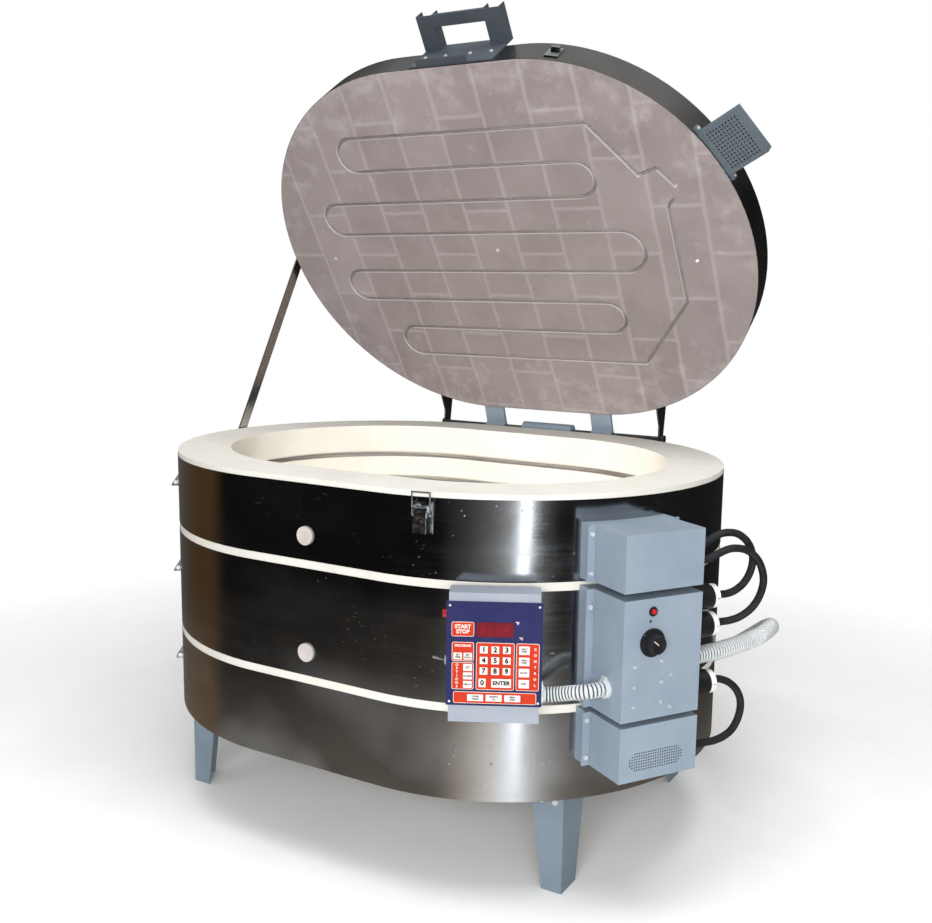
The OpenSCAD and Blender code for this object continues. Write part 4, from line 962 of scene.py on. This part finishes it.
def number_figures():
    """Figures one to nine on three rows of keys, and a low row with nought and ENTER."""
    u0, u1, z0, z1 = numbers
    row = (z1 - z0) / 4
    key_w = (u1 - u0 - 4 * KEY_GAP) / 3
    key_h = (3 * row - 4 * KEY_GAP) / 3
    out = []
    for k in range(9):
        u = u0 + KEY_GAP + k % 3 * (key_w + KEY_GAP) + key_w / 2
        z = z1 - KEY_GAP - k // 3 * (key_h + KEY_GAP) - key_h / 2
        out.append((str(k + 1), u, z, KEY_TOP, FIGURE_H))
    low_z = z0 + (row + LOW_ROW_EXTRA) / 2
    return out + [("0", u0 + (u1 - u0) / 6, low_z, KEY_TOP, FIGURE_H),
                  ("ENTER", u0 + (u1 - u0) * 2 / 3, low_z, KEY_TOP, ENTER_H)]


LINE_STEP = 4.6


def key_words(field, words, gap, across=False):
    """Small words centred on the keys of a field, in rows of one column or in one row."""
    u0, u1, z0, z1 = field
    n = len(words)
    out = []
    for k, word in enumerate(words):
        if across:
            u = u0 + gap + (k + 0.5) * (u1 - u0 - gap * (n + 1)) / n + k * gap
            z = (z0 + z1) / 2
        else:
            u = (u0 + u1) / 2
            z = z1 - gap - (k + 0.5) * (z1 - z0 - gap * (n + 1)) / n - k * gap
        lines = word.split()
        for i, line in enumerate(lines):
            out.append((line, u, z + LINE_STEP * ((len(lines) - 1) / 2 - i), KEY_TOP, SMALL_H))
    return out


def downwards(word, u, top, step):
    """A word written down a field, letter under letter."""
    return [(letter, u, top - step * k, FIELD_TOP, WORD_H) for k, letter in enumerate(word)]


# A field's margins keep its keys clear of the words printed beside them
figures = number_figures()
figures += key_words((timing[0], timing[1], timing[2], timing[2] + 18), ["SET TIME", "SET HOLD"], 3, True)
figures += key_words((options[0] + 17, *options[1:]), ["LIST", "ALARM", "DELAY"], 3)
figures += key_words((control[0], control[1] - 12, *control[2:]),
                     ["NEXT STEP", "VIEW STEP", "SLOW", "FAST"], 5)
figures += key_words((review[0] + 20, review[1] - 23, *review[2:]),
                     ["CONE TABLE", "REVIEW ALL", "VIEW STEP"], 4.5, True)
lettering("key_figures", print_dark, figures)
control_step = (control[3] - control[2] - 10) / 7
pale_words = [
    ("START", (start[0] + start[1]) / 2, start[3] - 8.5, FIELD_TOP, START_H),
    ("STOP", (start[0] + start[1]) / 2, start[2] + 8.5, FIELD_TOP, START_H),
    ("\u00b0F", 39, PANEL_TOP - 37, FILM_TOP, 7),
    ("\u00b0C", 46, PANEL_TOP - 64, FILM_TOP, 6),
    *downwards("OPTIONS", options[0] + 9, options[3] - 5, 6.5),
    *downwards("CONTROL", control[1] - 7, control[3] - 5 - control_step / 2, control_step),
    ("PROGRAM", (timing[0] + timing[1]) / 2, timing[3] - 6.5, FIELD_TOP, WORD_H),
]
lettering("pale_panel_words", panel_white, pale_words)
print("words and figures on the panel:", len(figures) + len(pale_words))

# %% [markdown]
# ## The dark display
#
# The display is off, but its segments still show a little through the red window. Seven flat bars
# for each of four digits lie just over the window, in a red hardly lighter than it.

# %% Segments of the display
# Each segment as across, up, and whether it lies flat
SEGMENTS = [(0, 8, 1), (3.4, 4, 0), (3.4, -4, 0), (0, -8, 1), (-3.4, -4, 0), (-3.4, 4, 0), (0, 0, 1)]
DIGITS = 4
FIRST_DIGIT, DIGIT_PITCH, DIGIT_Z = -19, 13.2, PANEL_TOP - 49
DIGIT_SLANT, DIGIT_SQUASH = 0.07, 0.85


def display_segments():
    bm = bmesh.new()
    for digit in range(DIGITS):
        for du, dz, flat in SEGMENTS:
            w, h = (5.2, 1.3) if flat else (1.3, 5.8)
            u = FIRST_DIGIT + digit * DIGIT_PITCH + du + dz * DIGIT_SLANT
            z = DIGIT_Z + dz * DIGIT_SQUASH
            rounded(bm, u - w / 2, u + w / 2, z - h / 2, z + h / 2, 0.5,
                    PANEL_FACE + 0.9, PANEL_FACE + 1.06)
    piece_of(bm, "display_segments", segment_red)


display_segments()
print("segments of the display:", DIGITS * len(SEGMENTS))

# %% [markdown]
# ## The selector knob
#
# A moulded knob: a thin skirt, a fluted grip that narrows to the top, and a pale pointer line.
# It is turned from rings of points whose radius swings in and out for the flutes. The pilot light
# above it gets a turned bezel in the same way.

# %% Knob
KNOB = (588.0, -23.0, 526.0)
# Rings as (outward, radius, share of the flutes)
KNOB_RINGS = [
    (0.4, 25.3, 0), (3.2, 25.4, 0), (3.9, 24.8, 0), (4.4, 20, 0), (4.8, 18.2, 0.5), (7, 17.8, 1.0),
    (18, 16.8, 1.0), (20.4, 16.2, 0.8), (21.4, 14.6, 0.3), (21.2, 12, 0), (20.2, 10.5, 0)]
FLUTE_DEEP = 0.9


def turned(name, place, rings, count, body, flutes=0, closed=False):
    """A turned piece on the boxes' front; rings close on themselves or end in two caps."""
    out, right, up = end_axes(BOX_ANGLE)
    centre = at_right(BOX_ANGLE, place)
    verts = []
    for x, r, share in rings:
        for a in np.linspace(0, 2 * math.pi, count, endpoint=False):
            rr = r - FLUTE_DEEP * share * (0.5 + 0.5 * math.cos(flutes * a))
            verts.append(centre + (out * x + right * (rr * math.cos(a)) + up * (rr * math.sin(a))) / 1000)
    obj = mesh_object(name, verts, skin(len(rings), count, closed), body, smooth_angle=35)
    dress(obj, black_plastic)
    return obj


def bar(name, centre, along_dir, out_dir, size, body, mat):
    """A small slab with chamfered top, standing on a point."""
    across_dir = out_dir.cross(along_dir)
    bm = bmesh.new()
    length, width, rise = (v / 2000 for v in size)
    for z, k in ((0, 1.0), (2 * rise * 0.7, 1.0), (2 * rise, 0.75)):
        for sx, sy in ((-1, -1), (1, -1), (1, 1), (-1, 1)):
            ahead, aside = sx * (length - (1 - k) * width), sy * width * k
            bm.verts.new(centre + along_dir * ahead + across_dir * aside + out_dir * z)
    bm.verts.ensure_lookup_table()
    v = bm.verts
    for i in range(2):
        for k in range(4):
            m = (k + 1) % 4
            bm.faces.new((v[4 * i + k], v[4 * i + m], v[4 * i + 4 + m], v[4 * i + 4 + k]))
    bm.faces.new([v[8], v[9], v[10], v[11]])
    bm.faces.new([v[3], v[2], v[1], v[0]])
    piece_of(bm, name, mat, body)


PILOT = (588.0, -23.0, 581.0)
POINTER_TURN = math.radians(140)
BEZEL_RINGS = [(0.1, 8.8, 0), (1.6, 8.7, 0), (2.7, 7.9, 0), (2.9, 6.6, 0), (2.2, 5.6, 0),
               (2.1, 5.0, 0), (0.1, 5.0, 0)]
turned("pilot_bezel", PILOT, BEZEL_RINGS, 40, "kiln", closed=True)
knob = turned("selector_knob_moulding", KNOB, KNOB_RINGS, 96, "knob", flutes=16)
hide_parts("selector_knob")
box_out, box_right, box_up = end_axes(BOX_ANGLE)
point_dir = box_right * math.cos(POINTER_TURN) + box_up * math.sin(POINTER_TURN)
# The pointer's two parts, on the skirt and on the grip: outward, from the middle, size
for name, out, reach, size in (("selector_pointer_line", 3.0, 0.0215, (6.5, 1.8, 1.0)),
                               ("selector_pointer_top", 20.6, 0.0075, (13, 1.6, 0.9))):
    centre = at_right(BOX_ANGLE, (KNOB[0] + out, KNOB[1], KNOB[2])) + point_dir * reach
    bar(name, centre, point_dir, box_out, size, "knob", panel_white)
print("rings of the knob:", len(KNOB_RINGS))

# %% [markdown]
# ## The floor
#
# The kiln stands on a pale round floor that only catches its shadow. The floor fades out towards
# its edge, so that it meets the white behind it without a line. Mirrors don't see it, because the
# painted room further down has a ground of its own.

# %% Floor
FLOOR_REACH, FLOOR_MIDDLE, FLOOR_Z = 2.2, 0.05, -0.0005
FLOOR_SIDES, FLOOR_RINGS = 96, 10


def make_floor():
    turn = [2 * math.pi * k / FLOOR_SIDES for k in range(FLOOR_SIDES)]
    bm = bmesh.new()
    rows = []
    for i in range(FLOOR_RINGS):
        r = FLOOR_REACH * (i + 1) / FLOOR_RINGS
        rows.append([bm.verts.new((FLOOR_MIDDLE + r * math.cos(a), FLOOR_MIDDLE + r * math.sin(a), FLOOR_Z))
                     for a in turn])
    bm.faces.new(rows[0])
    for a, b in zip(rows, rows[1:]):
        for k in range(FLOOR_SIDES):
            m = (k + 1) % FLOOR_SIDES
            bm.faces.new((a[k], b[k], b[m], a[m]))
    floor = from_bmesh(bm, "floor")
    mat, tree, shader, where = new_material("pale_floor", Roughness=0.8)
    tone = noise(tree, where, 3.0, 3.0)
    tree.links.new(ramp(tree, tone, (0.3, rgb("f4f4f3")), (0.7, rgb("fafaf9"))), shader.inputs["Base Color"])
    share = calc(tree, "DIVIDE", distance_from_origin(tree, where), FLOOR_REACH)
    tree.links.new(ramp(tree, share, (0.5, 1.0), (0.95, 0.0)), shader.inputs["Alpha"])
    dress(floor, mat)
    floor.visible_glossy = False


make_floor()
print("floor: %.1f m across" % (2 * FLOOR_REACH))

# %% [markdown]
# ## Lights
#
# Large soft lights shape the paint and the brick: the main one in front on the right, weaker ones
# on both sides, and one above. A small one hangs in the chamber, under the rim, and lifts its white
# wall without touching the lid when that is shut. Mirrors see none of them.

# %% Lights
def area(name, place, target, size, power, colour=(1, 1, 1)):
    light = bpy.data.lights.new(name, "AREA")
    light.shape = "RECTANGLE"
    light.size, light.size_y = size
    light.energy = power
    light.color = colour
    obj = linked(name, light)
    obj.location = place
    obj.rotation_mode = "QUATERNION"
    obj.rotation_quaternion = (Vector(target) - Vector(place)).to_track_quat("-Z", "Y")
    obj.visible_glossy = False
    obj.visible_camera = False


area("front_soft", (1.55, -3.2, 1.3), (0.15, 0, 0.8), (2.0, 1.4), 108)
area("left_soft", (-2.0, -3.0, 1.4), (0.3, 0, 0.5), (1.8, 1.4), 8)
area("right_soft", (3.0, -2.2, 0.6), (0.3, 0.1, 1.0), (1.4, 1.2), 23)
area("top_soft", (0.6, -0.6, 3.4), (0.2, 0, 0.5), (2.4, 1.6), 80)
area("chamber_soft", (0.05, -0.12, 0.72), (0.05, 0.12, 0.3), (0.6, 0.3), 4.0, (1.0, 0.93, 0.87))
print("lights:", [light.name for light in bpy.data.lights])

# %% [markdown]
# ## The room in the metal
#
# Polished metal shows the room, so the room is painted on purpose, as colours along the horizon:
# dim, with one tall bright window in front. Low down, where the lower jacket looks, the window is
# wide and soft, as dusty metal would show it, over a warm ground. Rough metal under a small window
# would look much the same but comes out grainy. The camera sees plain white, and every other ray
# gets an even white fill.

# %% Room
WARM = (0.10, 0.055, 0.02, 1)
COOL = (6.6, 7.1, 7.7, 1)
GLOW = (1.9, 2.0, 2.1, 1)
TAN = (0.40, 0.33, 0.26, 1)
SAND = (0.92, 0.86, 0.78, 1)
WHITE = (1.0, 1.0, 1.0, 1.0)
FILL = 0.42
# Colours along the horizon, as (share of a full turn, colour)
WALL = [
    (0.0, WARM), (0.05, WARM), (0.075, 0.006), (0.25, 0.006), (0.289, 0.09), (0.32, 0.24), (0.345, 0.55),
    (0.356, 1.1), (0.3605, COOL), (0.3665, COOL), (0.371, 0.6), (0.386, 0.1), (0.41, 0.02), (0.5, 0.006),
    (0.56, 0.02), (0.62, 0.015), (0.8, 0.02), (0.9, 0.1), (1.0, WARM)]
HAZE = [
    (0.0, WARM), (0.05, WARM), (0.075, 0.006), (0.25, 0.02), (0.266, 0.06), (0.287, TAN), (0.32, SAND),
    (0.345, 1.25), (0.3575, GLOW), (0.367, GLOW), (0.376, 1.0), (0.39, 0.72), (0.41, 0.36), (0.43, 0.14),
    (0.46, 0.05), (0.5, 0.01), (0.8, 0.02), (0.9, 0.1), (1.0, WARM)]
# Colours up and down, over ranges of the direction's height
GROUND = [(0.0, (0.22, 0.19, 0.155, 1)), (0.45, (0.075, 0.062, 0.05, 1)), (0.75, 0.012), (1.0, 0.0)]
CEILING = [(0.0, 0.0), (0.6, 0.06), (1.0, 0.4)]
HAZE_RANGE, GROUND_RANGE, CEILING_RANGE = (-0.30, -0.40), (-0.43, -0.26), (0.25, 0.8)
# The window leans: a turn for each unit of height, and a turn at the horizon
LEAN = (-0.051, -0.011)


def make_world():
    world = bpy.data.worlds.new("studio")
    world.use_nodes = True
    tree = world.node_tree
    tree.nodes.clear()
    where = add(tree, "ShaderNodeTexCoord").outputs["Generated"]
    part = add(tree, "ShaderNodeSeparateXYZ", {"Vector": where})
    x, y, z = (part.outputs[axis] for axis in "XYZ")
    share = spread(tree, calc(tree, "ARCTAN2", y, x), -math.pi, math.pi)
    leaning = calc(tree, "ADD", share, calc(tree, "MULTIPLY_ADD", z, *LEAN))
    wall = blend(tree, spread(tree, z, *HAZE_RANGE), ramp(tree, leaning, *WALL), ramp(tree, leaning, *HAZE))
    ground = ramp(tree, spread(tree, z, *GROUND_RANGE), *GROUND)
    ceiling = ramp(tree, spread(tree, z, *CEILING_RANGE), *CEILING)
    room = blend(tree, 1.0, blend(tree, 1.0, wall, ground, "ADD"), ceiling, "ADD")
    shine = add(tree, "ShaderNodeBackground", {"Color": room, "Strength": 1.0}).outputs[0]
    fill = add(tree, "ShaderNodeBackground", {"Color": WHITE, "Strength": FILL}).outputs[0]
    seen = add(tree, "ShaderNodeBackground", {"Color": WHITE, "Strength": 1.0}).outputs[0]
    ray = add(tree, "ShaderNodeLightPath").outputs
    mixed = add(tree, "ShaderNodeMixShader", {0: ray["Is Glossy Ray"], 1: fill, 2: shine}).outputs[0]
    final = add(tree, "ShaderNodeMixShader", {0: ray["Is Camera Ray"], 1: mixed, 2: seen}).outputs[0]
    add(tree, "ShaderNodeOutputWorld", {"Surface": final})
    bpy.context.scene.world = world


make_world()
bpy.context.scene.view_settings.view_transform = "Standard"
print("colours along the horizon:", len(WALL), "and low down:", len(HAZE))
